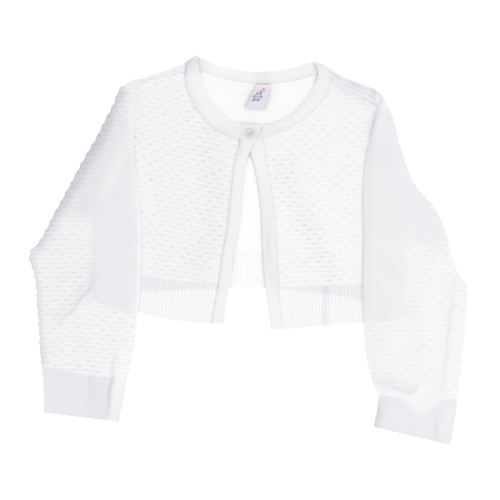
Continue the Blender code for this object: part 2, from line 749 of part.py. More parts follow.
def build_label():
    """The folded label: an under leaf from the neck seam, a fold, and an upper leaf back to the seam."""
    low = CLOTH + LAYER
    lines = []
    for share in (0.0, 0.5, 1.0):
        top = between(LABEL_SIDES[0][0], LABEL_SIDES[1][0], share)
        foot = between(LABEL_SIDES[0][1], LABEL_SIDES[1][1], share)
        line = []
        for along in (0.0, 0.3, 0.6, 0.9):
            line.append(between(top, foot, along) + (low,))
        run = math.hypot(foot[0] - top[0], foot[1] - top[1])
        down = ((foot[0] - top[0]) / run, (foot[1] - top[1]) / run)
        for degrees in (0, 45, 90, 135, 180):
            angle = math.radians(degrees)
            reach = LABEL_FOLD * (math.sin(angle) - 1.0)
            rise = LABEL_FOLD * (1.0 - math.cos(angle))
            line.append((foot[0] + down[0] * reach, foot[1] + down[1] * reach, low + rise))
        for along in (0.9, 0.6, 0.3, 0.0):
            lift = LABEL_LIFT * math.sin(math.pi * along) ** 2
            line.append(between(top, foot, along) + (low + 2.0 * LABEL_FOLD + lift,))
        lines.append(line)
    make_cloth("label", lines, LABEL_CLOTH, LABEL_COLOUR, outside_down=True)


def centre_all():
    """Moves the whole garment so that the middle of its outline is the origin."""
    bpy.context.view_layer.update()
    parts = list(bpy.data.collections["cardigan"].objects)
    spots = [part.matrix_world @ vertex.co for part in parts for vertex in part.data.vertices]
    x_mid = (min(s.x for s in spots) + max(s.x for s in spots)) / 2.0
    y_mid = (min(s.y for s in spots) + max(s.y for s in spots)) / 2.0
    for moved in parts + list(bpy.data.collections["cutters"].objects):
        moved.location.x -= x_mid
        moved.location.y -= y_mid


def build():
    """The whole cardigan."""
    for old in list(bpy.data.objects):
        bpy.data.objects.remove(old)
    for name in ("cardigan", "cutters"):
        bpy.context.scene.collection.children.link(bpy.data.collections.new(name))
    build_back()
    right_edge, left_edge = build_fronts()
    right_welt = build_front_welt("front_right_hem_rib", RIGHT_WELT, RIGHT_EDGE, *RIGHT_WELT_ENDS)
    left_welt = build_front_welt("front_left_hem_rib", LEFT_WELT, LEFT_EDGE, *LEFT_WELT_ENDS)
    build_bands(right_welt[::-1] + right_edge, left_welt[::-1] + left_edge)
    build_neckband()
    build_tube("sleeve_right", RIGHT_SLEEVE, SLEEVE_FULLNESS, SLEEVE_CREASES, CLOTH_COLOUR)
    build_tube("sleeve_left", LEFT_SLEEVE, SLEEVE_FULLNESS, SLEEVE_CREASES, CLOTH_COLOUR)
    build_tube("cuff_right", RIGHT_CUFF, CUFF_FULLNESS, CUFF_CREASES, CUFF_COLOUR)
    build_tube("cuff_left", LEFT_CUFF, CUFF_FULLNESS, CUFF_CREASES, CUFF_COLOUR)
    build_button()
    build_label()
    centre_all()


build()
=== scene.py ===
"""A child's cropped white cardigan in honeycomb knit, laid flat: the knitted looks round the CAD model."""

import math

import bpy
import numpy as np
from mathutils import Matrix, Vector
from mathutils.geometry import delaunay_2d_cdt


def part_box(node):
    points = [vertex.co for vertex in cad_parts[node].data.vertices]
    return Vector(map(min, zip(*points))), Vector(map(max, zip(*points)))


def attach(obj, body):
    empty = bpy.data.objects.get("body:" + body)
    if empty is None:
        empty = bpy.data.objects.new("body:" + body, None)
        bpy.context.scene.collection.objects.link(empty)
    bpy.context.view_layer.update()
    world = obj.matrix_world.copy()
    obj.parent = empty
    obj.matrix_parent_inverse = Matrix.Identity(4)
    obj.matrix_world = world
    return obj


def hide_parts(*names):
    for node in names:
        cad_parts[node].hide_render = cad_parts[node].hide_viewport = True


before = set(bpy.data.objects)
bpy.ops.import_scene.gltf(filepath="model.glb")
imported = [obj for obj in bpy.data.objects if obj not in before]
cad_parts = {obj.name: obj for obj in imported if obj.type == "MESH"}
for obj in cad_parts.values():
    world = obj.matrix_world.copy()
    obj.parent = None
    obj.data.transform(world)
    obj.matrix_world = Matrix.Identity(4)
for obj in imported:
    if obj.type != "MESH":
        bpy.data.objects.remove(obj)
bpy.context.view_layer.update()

MM = 0.001

# Sizes in millimetres, as in the part's own tables
CLOTH = 1.6
LAYER = 0.3
NECKBAND_CLOTH = 2.2
SHELL = 1.05  # thickness of the knitted shells under their relief
NECKBAND_SHELL = 1.6
CUFF_SHELL = 1.2
RIBBON = 0.4  # thickness of the label
SHOULDER_ROLL = 2.5
NECKBAND_ROLL = 2.8
SLEEVE_EDGE = 2.1
SLEEVE_INNER_EDGE = 1.1  # the fold that lies on the body is flatter
SLEEVE_FULLNESS = 1.5
CUFF_FULLNESS = 1.0
DRAPE_FALL = 46.0  # length over which a sleeve comes down past the body's edge
LEAST_HEIGHT = 0.02  # how far the tubes' undersides keep off the surface
HEM_ENDS = (-166.4, 164.3)  # where the sides come down to the hem
RIB_PITCH = 3.5
RIB_RELIEF = 0.5
RIB_COLUMNS = 7  # columns of points to a rib
CUFF_WALE = 2.8
PUCKER_AT = (133.0, 157.8)
BUTTON_AT = (1.8, 121.6)
BUTTON_HOLE = 0.75
HOLE_AT = (1.15, 0.75)  # from the button's middle
THREAD = 0.14
THREAD_ACROSS = (-0.55, 0.84)
THREAD_RINGS = 9
THREAD_SIDES = 6
LABEL_WIDE = 17.0
LABEL_FOLD = 0.85  # radius of the label's fold
LABEL_RUN = 56.0  # length of the label's ribbon, there and back

# Honeycomb knit
CELL_WIDE = 12.6  # from one dimple to the next in a row
CELL_HIGH = 9.9  # from one row to the next but one, which lies over it
DIMPLE_HALF = (2.52, 1.01)  # half a dimple's width and height
DIMPLE_DEEP = 0.34
PUFF = 0.10  # how far the knit swells between rows of dimples
SCALLOP = 0.65  # how far its rows stand out along a fold
TUCK = 1.0  # how far a panel runs under the band or welt at its edge
MESH_WIDE = 1.5  # spacing of the points that carry the relief
MESH_HIGH = 0.85
SLEEVE_MESH = (0.97, 2.0, 4.5)  # the same along a sleeve, across its top and across its underside
CUFF_MESH = (1.2, 1.4, 2.4)
FOLD_TURNS = (-72, -54, -36, -18, 0, 18, 36, 54, 72)  # degrees round the fold of a tube
SIDES = ("right", "left")

BACK_WELT = (
    (-166.4, -13.7, -53.0),
    (-111.3, -4.7, -44.1),
    (-37.8, -1.1, -41.5),
    (0.0, 1.2, -39.5),
    (36.8, -0.5, -41.5),
    (101.9, -10.0, -49.5),
    (164.3, -31.0, -71.0),
)
RIGHT_WELT = (
    (-166.4, -14.7, -55.1),
    (-112.7, -26.5, -67.0),
    (-79.5, -33.0, -74.8),
    (-32.5, -36.0, -78.5),
)
LEFT_WELT = (
    (31.0, -40.0, -84.8),
    (81.6, -38.4, -80.3),
    (109.5, -36.9, -77.5),
    (164.3, -33.4, -71.9),
)
RIGHT_EDGE = (
    (-78.5, -40.2, -26.3),
    (-53.0, -35.7, -23.1),
    (-35.5, -32.2, -19.9),
    (-0.8, -27.4, -15.0),
    (23.8, -22.9, -10.5),
    (52.0, -19.9, -7.9),
    (76.3, -17.4, -5.5),
    (93.5, -14.7, -2.4),
    (104.3, -12.0, 2.1),
    (114.3, -9.4, 7.7),
)
LEFT_EDGE = (
    (-84.8, 35.7, 22.9),
    (-58.3, 33.1, 19.4),
    (-35.5, 30.8, 16.8),
    (-0.5, 29.2, 14.5),
    (34.4, 27.1, 13.1),
    (62.5, 23.6, 10.2),
    (87.3, 18.8, 5.8),
    (104.0, 15.9, 0.5),
    (115.8, 14.2, -2.1),
)
NECK_RIGHT_FRONT = (
    (8.2, 116.3, 14.2, 130.7),
    (3.0, 115.5, 6.0, 130.7),
    (-2.6, 115.3, -0.8, 131.0),
    (-7.0, 115.1, -6.0, 131.7),
    (-11.9, 115.6, -11.0, 133.0),
    (-27.3, 121.8, -22.1, 137.6),
    (-40.4, 130.2, -32.6, 146.5),
    (-52.0, 143.8, -42.0, 159.6),
    (-60.4, 157.0, -48.3, 173.8),
    (-65.7, 172.7, -52.0, 187.4),
    (-67.6, 186.0, -53.6, 196.5),
)
NECK_BACK = (
    (-65.0, 190.8, -51.6, 201.4),
    (-55.9, 187.8, -44.1, 199.0),
    (-37.0, 182.6, -30.5, 193.0),
    (-17.9, 177.2, -13.7, 188.9),
    (4.2, 173.8, 5.2, 187.2),
    (26.2, 173.8, 24.2, 187.6),
    (47.2, 176.6, 41.0, 189.8),
    (63.0, 180.6, 53.6, 193.7),
    (76.6, 185.8, 62.6, 196.9),
)
NECK_LEFT_FRONT = (
    (84.2, 181.4, 71.0, 192.0),
    (84.0, 170.6, 72.5, 183.2),
    (78.8, 159.1, 68.2, 171.7),
    (68.8, 147.5, 60.9, 159.1),
    (56.8, 136.5, 50.4, 147.0),
    (41.0, 127.6, 37.8, 137.6),
    (25.2, 120.8, 23.1, 132.1),
    (14.2, 117.1, 12.5, 130.6),
    (5.0, 115.9, 5.0, 130.2),
    (-2.1, 115.3, -3.2, 130.1),
)
NECK_TURN_RIGHT = (-68.5, 195.3, -55.1, 204.8)
NECK_TURN_LEFT = (84.1, 190.9, 68.8, 198.8)
RIGHT_SLEEVE = (
    (-111.3, 180.1, -119.7, 115.0),
    (-125.0, 176.4, -120.8, 107.6),
    (-136.0, 168.5, -119.7, 97.1),
    (-142.2, 153.2, -118.7, 86.6),
    (-149.4, 139.4, -117.6, 76.1),
    (-159.9, 118.4, -116.6, 62.5),
    (-174.0, 94.0, -115.2, 47.8),
    (-186.2, 71.2, -113.7, 33.1),
    (-198.5, 48.5, -112.9, 18.4),
    (-209.0, 29.2, -112.7, 3.7),
    (-219.5, 8.9, -113.2, -8.9),
    (-228.9, -0.5, -113.6, -19.4),
    (-230.7, -9.5, -114.1, -29.0),
    (-226.5, -22.5, -114.5, -39.5),
    (-223.7, -38.5, -115.0, -53.0),
    (-222.3, -60.1, -116.2, -70.0),
    (-220.6, -82.0, -117.9, -89.0),
    (-219.4, -106.0, -120.6, -111.0),
    (-216.6, -131.0, -126.6, -134.4),
)
LEFT_SLEEVE = (
    (132.0, 169.3, 131.6, 131.8),
    (138.6, 163.3, 128.6, 124.5),
    (143.8, 154.9, 126.5, 115.0),
    (149.9, 142.0, 124.2, 105.0),
    (154.4, 127.5, 122.2, 92.0),
    (160.3, 104.5, 120.3, 73.0),
    (167.3, 83.5, 119.7, 55.1),
    (176.1, 65.9, 119.6, 39.4),
    (190.1, 50.2, 119.9, 22.6),
    (200.6, 34.4, 119.9, 6.8),
    (207.6, 17.0, 119.5, -8.0),
    (212.8, -4.0, 119.1, -24.5),
    (220.4, -25.0, 119.2, -41.5),
    (229.2, -36.5, 119.4, -53.5),
    (230.3, -51.0, 119.7, -66.5),
    (228.2, -74.0, 120.1, -84.5),
    (226.3, -98.0, 121.6, -104.0),
    (223.4, -122.0, 125.3, -124.5),
    (221.0, -142.0, 130.2, -141.0),
    (219.5, -157.2, 135.8, -153.9),
)
RIGHT_CUFF = (
    (-216.4, -131.4, -127.0, -134.8),
    (-215.4, -144.0, -129.3, -146.8),
    (-215.1, -158.0, -132.5, -163.8),
    (-215.0, -171.2, -136.3, -180.6),
)
LEFT_CUFF = (
    (219.2, -157.6, 136.4, -154.4),
    (217.4, -173.0, 134.8, -164.5),
    (214.8, -189.0, 132.7, -175.5),
    (212.1, -205.3, 130.6, -186.2),
)
RIGHT_SIDE = (
    (-119.3, 114.5),
    (-130.0, 91.5),
    (-139.5, 72.5),
    (-151.5, 53.5),
    (-164.8, 36.0),
    (-166.4, -14.0),
    (-168.0, -55.1),
)
LEFT_SIDE = (
    (131.0, 131.5),
    (133.8, 109.2),
    (138.0, 88.2),
    (146.3, 62.2),
    (155.4, 41.2),
    (166.6, 22.6),
    (164.3, -33.4),
    (163.3, -71.9),
)

# The back's rolls over the shoulders: their outline from above, their seam, and the way they stand out
SHOULDER_ROLLS = {
    "left": (
        ((132.6, 168.6), (116.3, 174.6), (100.0, 181.0), (85.4, 189.6), (82.0, 192.0)),
        ((132.4, 152.0), (117.6, 159.4), (101.9, 166.3), (86.0, 179.4), (82.4, 183.2)),
        (0.40, 0.917),
    ),
    "right": (
        ((-66.4, 195.6), (-85.0, 189.0), (-98.7, 184.3), (-112.2, 179.9)),
        ((-65.8, 187.0), (-83.6, 182.9), (-98.2, 179.2), (-112.4, 175.7)),
        (-0.33, 0.944),
    ),
}

# Lines that several of the tables below share
LEFT_TROUGH = ((49.3, 44.6), (67.2, 6.8), (79.8, -16.3), (86.0, -34.0))
OVER_CUFF = ((176.4, -143.3), (168.0, -150.2), (156.5, -146.5), (146.0, -143.0), (130.0, -139.0))

# Ridges and troughs: height, reach, points along it
FRONT_CREASES = (
    (1.2, 20.0, ((58.0, 96.0), (76.0, 34.0), (92.0, -28.0))),
    (-0.6, 19.0, ((33.0, 88.0), *LEFT_TROUGH)),
    (1.1, 22.0, ((-84.0, 140.0), (-78.0, 90.0), (-64.0, 40.0))),
    (0.8, 20.0, ((-92.0, 20.0), (-58.0, -16.0), (-44.0, -30.0))),
    (0.9, 13.0, ((104.0, 150.0), (118.0, 142.0), (121.0, 118.0))),
)
SLEEVE_CREASES = (
    (1.4, 11.0, ((-124.0, 163.0), (-125.5, 130.0), (-124.0, 104.0))),
    (0.8, 20.0, ((-140.0, 118.0), (-152.0, 74.0), (-164.0, 36.0))),
    (1.6, 18.0, ((-158.0, -16.0), (-184.0, -30.0), (-208.0, -46.0))),
    (1.2, 14.0, ((-172.0, -72.0), (-166.0, -104.0), (-158.0, -130.0))),
    (1.0, 15.0, ((-196.0, -90.0), (-198.0, -112.0), (-194.0, -128.0))),
    (1.5, 11.0, ((136.0, 152.0), (133.0, 130.0), (133.0, 104.0))),
    (1.0, 20.0, ((146.0, 110.0), (152.0, 62.0), (160.0, 20.0))),
    (1.2, 16.0, ((190.0, -30.0), (180.0, -72.0), (184.0, -110.0))),
    (1.0, 14.0, ((148.0, -60.0), (146.0, -96.0), (152.0, -124.0))),
    (1.2, 10.0, ((196.0, -128.0), (206.0, -142.0), (212.0, -150.0))),
    (1.0, 12.0, ((-160.0, -136.0), (-162.0, -158.0), (-164.0, -174.0))),
    (1.0, 11.0, ((206.0, -164.0), (205.0, -176.0), (204.0, -200.0))),
)

# Folds whose left side stands higher: height, length over which it falls back, points along it
SLEEVE_FOLDS = (
    (1.1, 24.0, ((-158.0, -26.0), (-168.0, -43.0), (-187.9, -66.7), (-207.0, -83.0))),
    (0.9, 12.0, ((-138.6, -92.0), (-140.7, -112.9), (-143.5, -133.0), (-145.5, -152.0), (-148.0, -184.0))),
    (0.6, 16.0, (
        (220.0, -14.0), (213.2, -53.0), (208.4, -96.1), (205.5, -124.4), (202.7, -150.0), (200.0, -172.0),
    )),
    (1.7, 15.0, ((186.0, -133.0), *OVER_CUFF)),
    (0.7, 12.0, ((197.0, -168.0), (195.8, -185.0), (195.0, -204.0))),
)
FRONT_FOLDS = (
    (0.5, 8.0, ((-118.0, 120.0), (-114.0, 144.0), (-112.0, 166.0))),
)

# Lines across the sleeves' ends: below which the left cuff carries more painted shade, where the right
# sleeve's honeycomb stops and its painted shade turns to the cuff's, and where the left sleeve's honeycomb
# stops
CUFF_ROLL = (
    (130.0, -149.0), (138.0, -149.6), (151.8, -152.4), (162.8, -159.8), (172.2, -167.3), (180.6, -171.7),
    (191.1, -165.4), (203.7, -158.0), (219.0, -155.9),
)
CUFF_TOP = (
    (-222.0, -121.5), (-216.0, -122.3), (-187.0, -128.0), (-170.0, -133.0), (-147.0, -138.0),
    (-120.0, -142.0),
)
HONEYCOMB_END = ((181.0, -137.5), *OVER_CUFF)

# Painted shade where the cloth looks darker, and painted light where it looks lighter: how much, reach,
# points along it
SLEEVE_SHADES = (
    (1.12, 18.0, (
        (-140.0, 163.0), (-148.0, 146.0), (-164.0, 112.0), (-183.0, 78.0), (-204.0, 41.0), (-223.0, 8.0),
    )),
    (0.32, 24.0, ((-142.0, 126.0), (-154.0, 98.0), (-166.0, 66.0), (-172.0, 46.0))),
    (0.26, 15.0, ((-164.0, -28.0), (-172.0, -40.0))),
    (0.20, 12.0, ((-176.0, -44.0), (-190.0, -58.0), (-204.0, -70.0))),
    (0.78, 11.0, ((-230.0, -8.0), (-225.0, -40.0), (-222.0, -84.0), (-218.0, -118.0))),
    (0.22, 28.0, ((146.0, 134.0), (146.0, 106.0))),
    (0.10, 6.5, (
        (216.9, -29.7), (212.3, -48.3), (209.5, -83.5), (207.6, -109.6), (206.7, -124.4), (203.9, -139.3),
    )),
    (0.22, 12.0, ((132.0, -136.0), (150.0, -139.0), (166.0, -145.0))),
    (0.20, 36.0, ((158.0, 84.0), (178.0, 42.0), (190.0, 16.0))),
)
FRONT_SHADES = (
    (0.16, 17.0, ((33.0, 88.0), *LEFT_TROUGH)),
    (0.14, 26.0, ((-40.0, 116.0), (-36.0, 60.0), (-44.0, 0.0), (-60.0, -24.0))),
    (-0.24, 12.0, ((-112.0, 96.0), (-109.0, 40.0), (-108.0, -24.0))),
    (0.60, 17.0, ((96.0, 178.0), (104.0, 170.0), (117.0, 163.5), (130.0, 159.0))),
)
WELT_SHADES = (
    (0.38, 7.0, ((81.0, -36.0), (80.0, -60.0), (79.5, -82.0))),
)
BAND_SHADES = (
    (0.12, 5.0, ((19.0, 34.0), (20.2, 4.0), (21.6, -28.0))),
    (0.16, 3.6, ((19.6, 16.0), (20.2, 4.0), (21.0, -12.0))),
    (0.18, 30.0, ((20.0, 50.0), (22.0, 0.0), (26.0, -30.0))),
)
CUFF_SHADES = (
    (0.45, 7.0, ((134.0, -157.0), (136.0, -172.0), (133.0, -186.0))),
)
# Where the painted shade in the dimples is strongest
DIMPLES_PLAIN = (
    (0.46, 19.0, ((37.0, 82.0), *LEFT_TROUGH)),
    (0.30, 30.0, ((-62.0, 140.0), (-36.0, 90.0), (-40.0, 20.0), (-60.0, -24.0))),
    (0.55, 18.0, ((-134.0, 160.0), (-163.0, 112.0), (-182.0, 78.0), (-203.0, 41.0), (-222.0, 8.0))),
    (0.50, 16.0, ((-166.0, -14.0), (-180.0, -44.0), (-200.0, -66.0))),
    (0.40, 16.0, ((-150.0, -90.0), (-156.0, -116.0), (-180.0, -128.0))),
)

# A front: from how far out its sleeve covers it, its painted shade, and how much painted shade its band adds
FRONT_LOOKS = {"right": (109.0, 0.09, 0.65), "left": (128.0, -0.02, 0.3)}
# A sleeve: its painted shade, how much more of it on the body and in a fold's crook, how far its rows stand
# out
SLEEVE_LOOKS = {"right": (0.14, 0.36, 0.5, 0.85), "left": (0.15, 0.22, 0.32, 0.55)}
# Painted shade that the left sleeve's inner edge adds, painted light where below 0: places along y, and
# amounts
LEFT_EDGE_PAINTED_SHADE = ((-80.0, -60.0, 10.0, 50.0, 125.0), (-0.1, 0.1, 0.2, 0.02, 0.0))
# A front band: its foot, its top, and the slant of its top
BAND_ENDS = {"right": (-78.2, 115.9, 1.2), "left": (-84.6, 117.4, -1.7)}

button_low, button_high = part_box("button")
SHIFT = [(button_low[k] + button_high[k]) / 2.0 / MM - BUTTON_AT[k] for k in (0, 1)]


def smooth(t):
    """0 below 0, 1 above 1 and a soft S between."""
    t = np.clip(t, 0.0, 1.0)
    return t * t * (3.0 - 2.0 * t)


def read(table, value, column):
    """A table's column where its first column is value."""
    rows = sorted(table)
    return np.interp(value, [row[0] for row in rows], [row[column] for row in rows])


def lengths(points):
    """The length walked along a line to each of its points."""
    return np.concatenate([[0.0], np.cumsum(np.linalg.norm(np.diff(points, axis=0), axis=1))])


def curve(points, count=None, step=None):
    """Points evenly spaced along a smooth curve through a table's rows."""
    rows = np.array(points, dtype=float)
    knots = np.vstack([2 * rows[0] - rows[1], rows, 2 * rows[-1] - rows[-2]])
    fine = []
    for k in range(1, len(knots) - 2):
        a, b, c, d = knots[k - 1 : k + 3]
        t = np.linspace(0.0, 1.0, 24, endpoint=False)[:, None]
        square = 2 * a - 5 * b + 4 * c - d
        cube = 3 * b - a - 3 * c + d
        fine.append(0.5 * (2 * b + (c - a) * t + square * t**2 + cube * t**3))
    fine = np.vstack(fine + [rows[-1:]])
    run = lengths(fine)
    if count is None:
        count = max(2, int(round(run[-1] / step)) + 1)
    at = np.linspace(0.0, run[-1], count)
    return np.stack([np.interp(at, run, fine[:, i]) for i in range(fine.shape[1])], axis=1)


def track(points, x, y):
    """Distance from a line, below 0 at a walker's right hand, the length walked to there, and in all."""
    x, y = np.asarray(x, dtype=float), np.asarray(y, dtype=float)
    best = np.full(x.shape, 1e9)
    side = np.ones(x.shape)
    walked = np.zeros(x.shape)
    before = 0.0
    for a, b in zip(points, points[1:]):
        run = (b[0] - a[0], b[1] - a[1])
        long = math.hypot(*run)
        share = np.clip(((x - a[0]) * run[0] + (y - a[1]) * run[1]) / long**2, 0.0, 1.0)
        away = np.hypot(x - a[0] - share * run[0], y - a[1] - share * run[1])
        turn = np.where(run[0] * (y - a[1]) - run[1] * (x - a[0]) > 0, 1.0, -1.0)
        nearer = away < best - 1e-9
        side = np.where(nearer, turn, side)
        walked = np.where(nearer, before + share * long, walked)
        best = np.minimum(best, away)
        before += long
    return best * side, walked, before


def off_line(points, x, y):
    """Distance from a line of points, below 0 at a walker's right hand."""
    return track(points, x, y)[0]


def folds(table, x, y):
    """What the folds of a table add to the height, and the painted shade in their crooks."""
    height = np.zeros(np.shape(x))
    crook_shade = np.zeros(np.shape(x))
    for rise, fall, points in table:
        away, walked, long = track(curve(points, step=3.0), x, y)
        away = away + 0.7 * np.sin(walked / 4.1) + 0.5 * np.sin(walked / 9.7 + rise)
        ends = smooth(walked / (0.35 * long)) * smooth((long - walked) / (0.35 * long))
        height += rise * ends * smooth((away + 3.0) / 6.0) * smooth(1.0 - away / fall)
        # Painted shade in the crook of each fold
        crook_shade += min(rise, 1.1) * ends * smooth(1.0 - np.abs(away + 0.6) / 2.6)
    return height, crook_shade


def creases(table, x, y):
    """What the rows of a table add at a place: most along each line, and nothing past its reach."""
    total = np.zeros(np.shape(x))
    for most, reach, points in table:
        total += most * smooth(1.0 - np.abs(off_line(points, x, y)) / reach)
    return total


def pucker(x, y):
    """Height of the small round pucker where the left shoulder meets its sleeve, and the painted shade round
    its rim.
    """
    away = np.hypot(x - PUCKER_AT[0], 0.85 * (y - PUCKER_AT[1]))
    return 0.9 * smooth(1.0 - away / 6.5), 0.5 * smooth(1.0 - np.abs(away - 5.6) / 2.0)


def dimple_shade_seen(x, y):
    """How strongly the painted shade in the dimples shows at a place, from its plain 0.45 upwards."""
    plain = np.interp(x, (-10.0, 10.0, 110.0, 135.0), (0.62, 0.5, 0.5, 0.34))
    return np.clip(plain + creases(DIMPLES_PLAIN, x, y), 0.0, 1.15)


def shoulder_seam(x):
    """Y of the shoulder seam nearest to x."""
    right = np.interp(x, (-111.0, -69.7), (175.9, 185.9))
    left = np.interp(x, (86.0, 101.9, 117.6, 130.8), (179.3, 166.2, 159.3, 152.5))
    return np.where(np.asarray(x) < 0, right, left)


def front_height(x, y):
    """Height of the underside of a front."""
    on_back = CLOTH + LAYER
    rise = (2.0 * SHOULDER_ROLL - CLOTH - on_back) * smooth((y - shoulder_seam(x) + 11.0) / 10.5)
    fall = smooth((read(BACK_WELT, x, 2) - y - 14.0) / 10.0)
    soft = creases(FRONT_CREASES, x, y) * smooth((shoulder_seam(x) - y) / 15.0)
    return on_back * (1.0 - fall) + rise + soft * smooth((y + 36.0) / 14.0)


def body_under(x, y):
    """How far inside the body's outline a point of a sleeve is, from its side and from its hem."""
    x, y = np.asarray(x, dtype=float), np.asarray(y, dtype=float)
    right, left = RIGHT_SIDE + ((-170.0, -200.0),), LEFT_SIDE + ((161.0, -200.0),)
    side = np.where(x < 0, off_line(right, x, y), -off_line(left, x, y))
    hem = y - np.where(x < 0, read(RIGHT_WELT, x, 2), read(LEFT_WELT, x, 2))
    return side, hem


def sleeve_height(x, y):
    """Height of what a sleeve lies on."""
    side, hem = body_under(x, y)
    stack = 2.0 * (CLOTH + LAYER) - 0.1
    past_side = smooth((side + DRAPE_FALL) / DRAPE_FALL)
    past_hem = smooth((hem + DRAPE_FALL) / DRAPE_FALL)
    return stack * past_side * past_hem


def uneven(u, v):
    """The place on the cloth where hand and wash have pulled its rows a little out of line."""
    across = 1.3 * np.sin(v / 7.3 + 1.7 * np.sin(u / 31.0)) + 0.9 * np.sin(v / 3.1 + u / 23.0)
    along = 0.5 * np.sin(u / 9.1 + 1.3 * np.sin(v / 27.0)) + 0.3 * np.sin(u / 4.7 - v / 12.0)
    return u + across, v + along


def honeycomb(u, v):
    """Relief of the honeycomb knit: long dimples in brick order, soft swellings between their rows."""
    total = -PUFF * np.cos(4 * np.pi * v / CELL_HIGH)
    for shift in (0.0, 0.5):
        du = (np.mod(u / CELL_WIDE + 0.5 + shift, 1.0) - 0.5) * CELL_WIDE
        dv = (np.mod(v / CELL_HIGH + 0.5 + shift, 1.0) - 0.5) * CELL_HIGH
        total -= DIMPLE_DEEP * np.exp(-((du / DIMPLE_HALF[0]) ** 4) - (dv / DIMPLE_HALF[1]) ** 2)
    return total


# Materials


class Value:
    """A number or a colour that runs through a material's nodes."""

    def __init__(self, finish, socket):
        self.finish = finish
        self.socket = socket

    def maths(self, operation, *others, clamp=False):
        """This value and others through one Math node."""
        settings = {"operation": operation, "use_clamp": clamp}
        return self.finish.add("ShaderNodeMath", settings, [self, *others])

    def __add__(self, other):
        return self.maths("ADD", other)

    __radd__ = __add__

    def __sub__(self, other):
        return self.maths("SUBTRACT", other)

    def __rsub__(self, other):
        return self.finish.add("ShaderNodeMath", {"operation": "SUBTRACT"}, [other, self])

    def __mul__(self, other):
        return self.maths("MULTIPLY", other)

    __rmul__ = __mul__

    def __truediv__(self, other):
        return self.maths("DIVIDE", other)

    def __rtruediv__(self, other):
        return self.finish.add("ShaderNodeMath", {"operation": "DIVIDE"}, [other, self])

    def __pow__(self, other):
        return self.maths("POWER", other)

    def __neg__(self):
        return self.maths("MULTIPLY", -1.0)


class Finish:
    """One material and its nodes."""

    def __init__(self, name, colour, roughness, sheen=0.0, coat=0.0, slot=None):
        self.material = bpy.data.materials.new(name)
        self.material.use_nodes = True
        self.tree = self.material.node_tree
        self.shader = self.tree.nodes["Principled BSDF"]
        self.slot = slot
        self.set("Base Color", (*colour, 1.0))
        self.set("Roughness", roughness)
        self.set("Metallic", 0.0)
        self.set("Sheen Weight", sheen)
        self.set("Coat Weight", coat)
        self.material.diffuse_color = (*colour, 1.0)

    def set(self, name, value):
        """Sets one of the shader's sockets, or links a value to it."""
        if isinstance(value, Value):
            self.tree.links.new(value.socket, self.shader.inputs[name])
        else:
            self.shader.inputs[name].default_value = value

    def add(self, kind, settings, inputs, output=0):
        """Adds a node with its settings, and gives the output that is asked for."""
        node = self.tree.nodes.new(kind)
        for key, value in settings.items():
            setattr(node, key, value)
        pairs = inputs.items() if isinstance(inputs, dict) else enumerate(inputs)
        for key, value in pairs:
            if isinstance(value, Value):
                self.tree.links.new(value.socket, node.inputs[key])
            else:
                node.inputs[key].default_value = value
        return Value(self, node.outputs[output])

    def mix(self, share, low, high):
        """A colour between two."""
        low = low if isinstance(low, Value) else (*low, 1.0)
        high = high if isinstance(high, Value) else (*high, 1.0)
        return self.add("ShaderNodeMix", {"data_type": "RGBA"}, {0: share, 6: low, 7: high}, 2)

    def noise(self, scale, detail=2.0):
        """Soft noise from 0 to 1; scale is repeats a metre."""
        place = self.add("ShaderNodeTexCoord", {}, {}, 3)
        return self.add("ShaderNodeTexNoise", {}, {"Scale": scale, "Detail": detail, "Vector": place})

    def knit_place(self):
        """The place on the cloth in millimetres, across and along."""
        uv = self.add("ShaderNodeUVMap", {"uv_map": "Knit"}, {})
        across = self.add("ShaderNodeSeparateXYZ", {}, [uv], 0)
        along = self.add("ShaderNodeSeparateXYZ", {}, [uv], 1)
        return across, along

    def attribute(self, name):
        """A number that the mesh carries."""
        return self.add("ShaderNodeAttribute", {"attribute_name": name}, {}, 2)

    def wave(self, value, pitch, phase=0.0):
        """A sine from 0 to 1 that repeats every pitch."""
        return (value * (2.0 * math.pi / pitch) + phase).maths("SINE") * 0.5 + 0.5

    def bump(self, height, distance, strength=1.0):
        """Links a height to the shader's normal."""
        inputs = {"Height": height, "Distance": distance, "Strength": strength}
        self.set("Normal", self.add("ShaderNodeBump", {}, inputs))


def dimple_mask(finish, u, v):
    """1 in the middle of each dimple of the honeycomb and 0 between them."""
    masks = []
    u = u + (finish.noise(75.0, 1.0) - 0.5) * 5.0
    v = v + (finish.noise(110.0, 1.0) - 0.5) * 2.6
    for shift in (0.5, 0.0):
        du = ((u / CELL_WIDE + shift).maths("FRACT") - 0.5) * (CELL_WIDE / DIMPLE_HALF[0])
        dv = ((v / CELL_HIGH + shift).maths("FRACT") - 0.5) * (CELL_HIGH / DIMPLE_HALF[1])
        away = (du * du) ** 1.5 + dv * dv
        masks.append((-away).maths("EXPONENT"))
    return masks[0] + masks[1]


def ground_of(finish, colour, extra):
    """The cloth's colour, darker and bluer by its painted shade, how far past full that is, and the two
    noises.
    """
    cloud = finish.noise(45.0, 3.0)
    fine = finish.noise(900.0, 2.0)
    shade = finish.attribute("tone") + extra + (cloud - 0.5) * 0.14 + (fine - 0.5) * 0.16
    # Painted shade: the cloth's colour darkened and blued as its painted shade rises, and darker still past
    # full
    darker = tuple(c * d for c, d in zip(colour, (0.79, 0.80, 0.835)))
    darkest = tuple(c * d for c, d in zip(colour, (0.61, 0.58, 0.625)))
    ground = finish.mix(shade.maths("MULTIPLY", 1.0, clamp=True), colour, darker)
    # The deepest painted shade comes in speckles
    speckled = finish.noise(300.0, 2.0) * 2.2 - 0.1
    past = (shade - 0.85).maths("MULTIPLY", speckled, clamp=True)
    return finish.mix(past, ground, darkest), past, cloud, fine


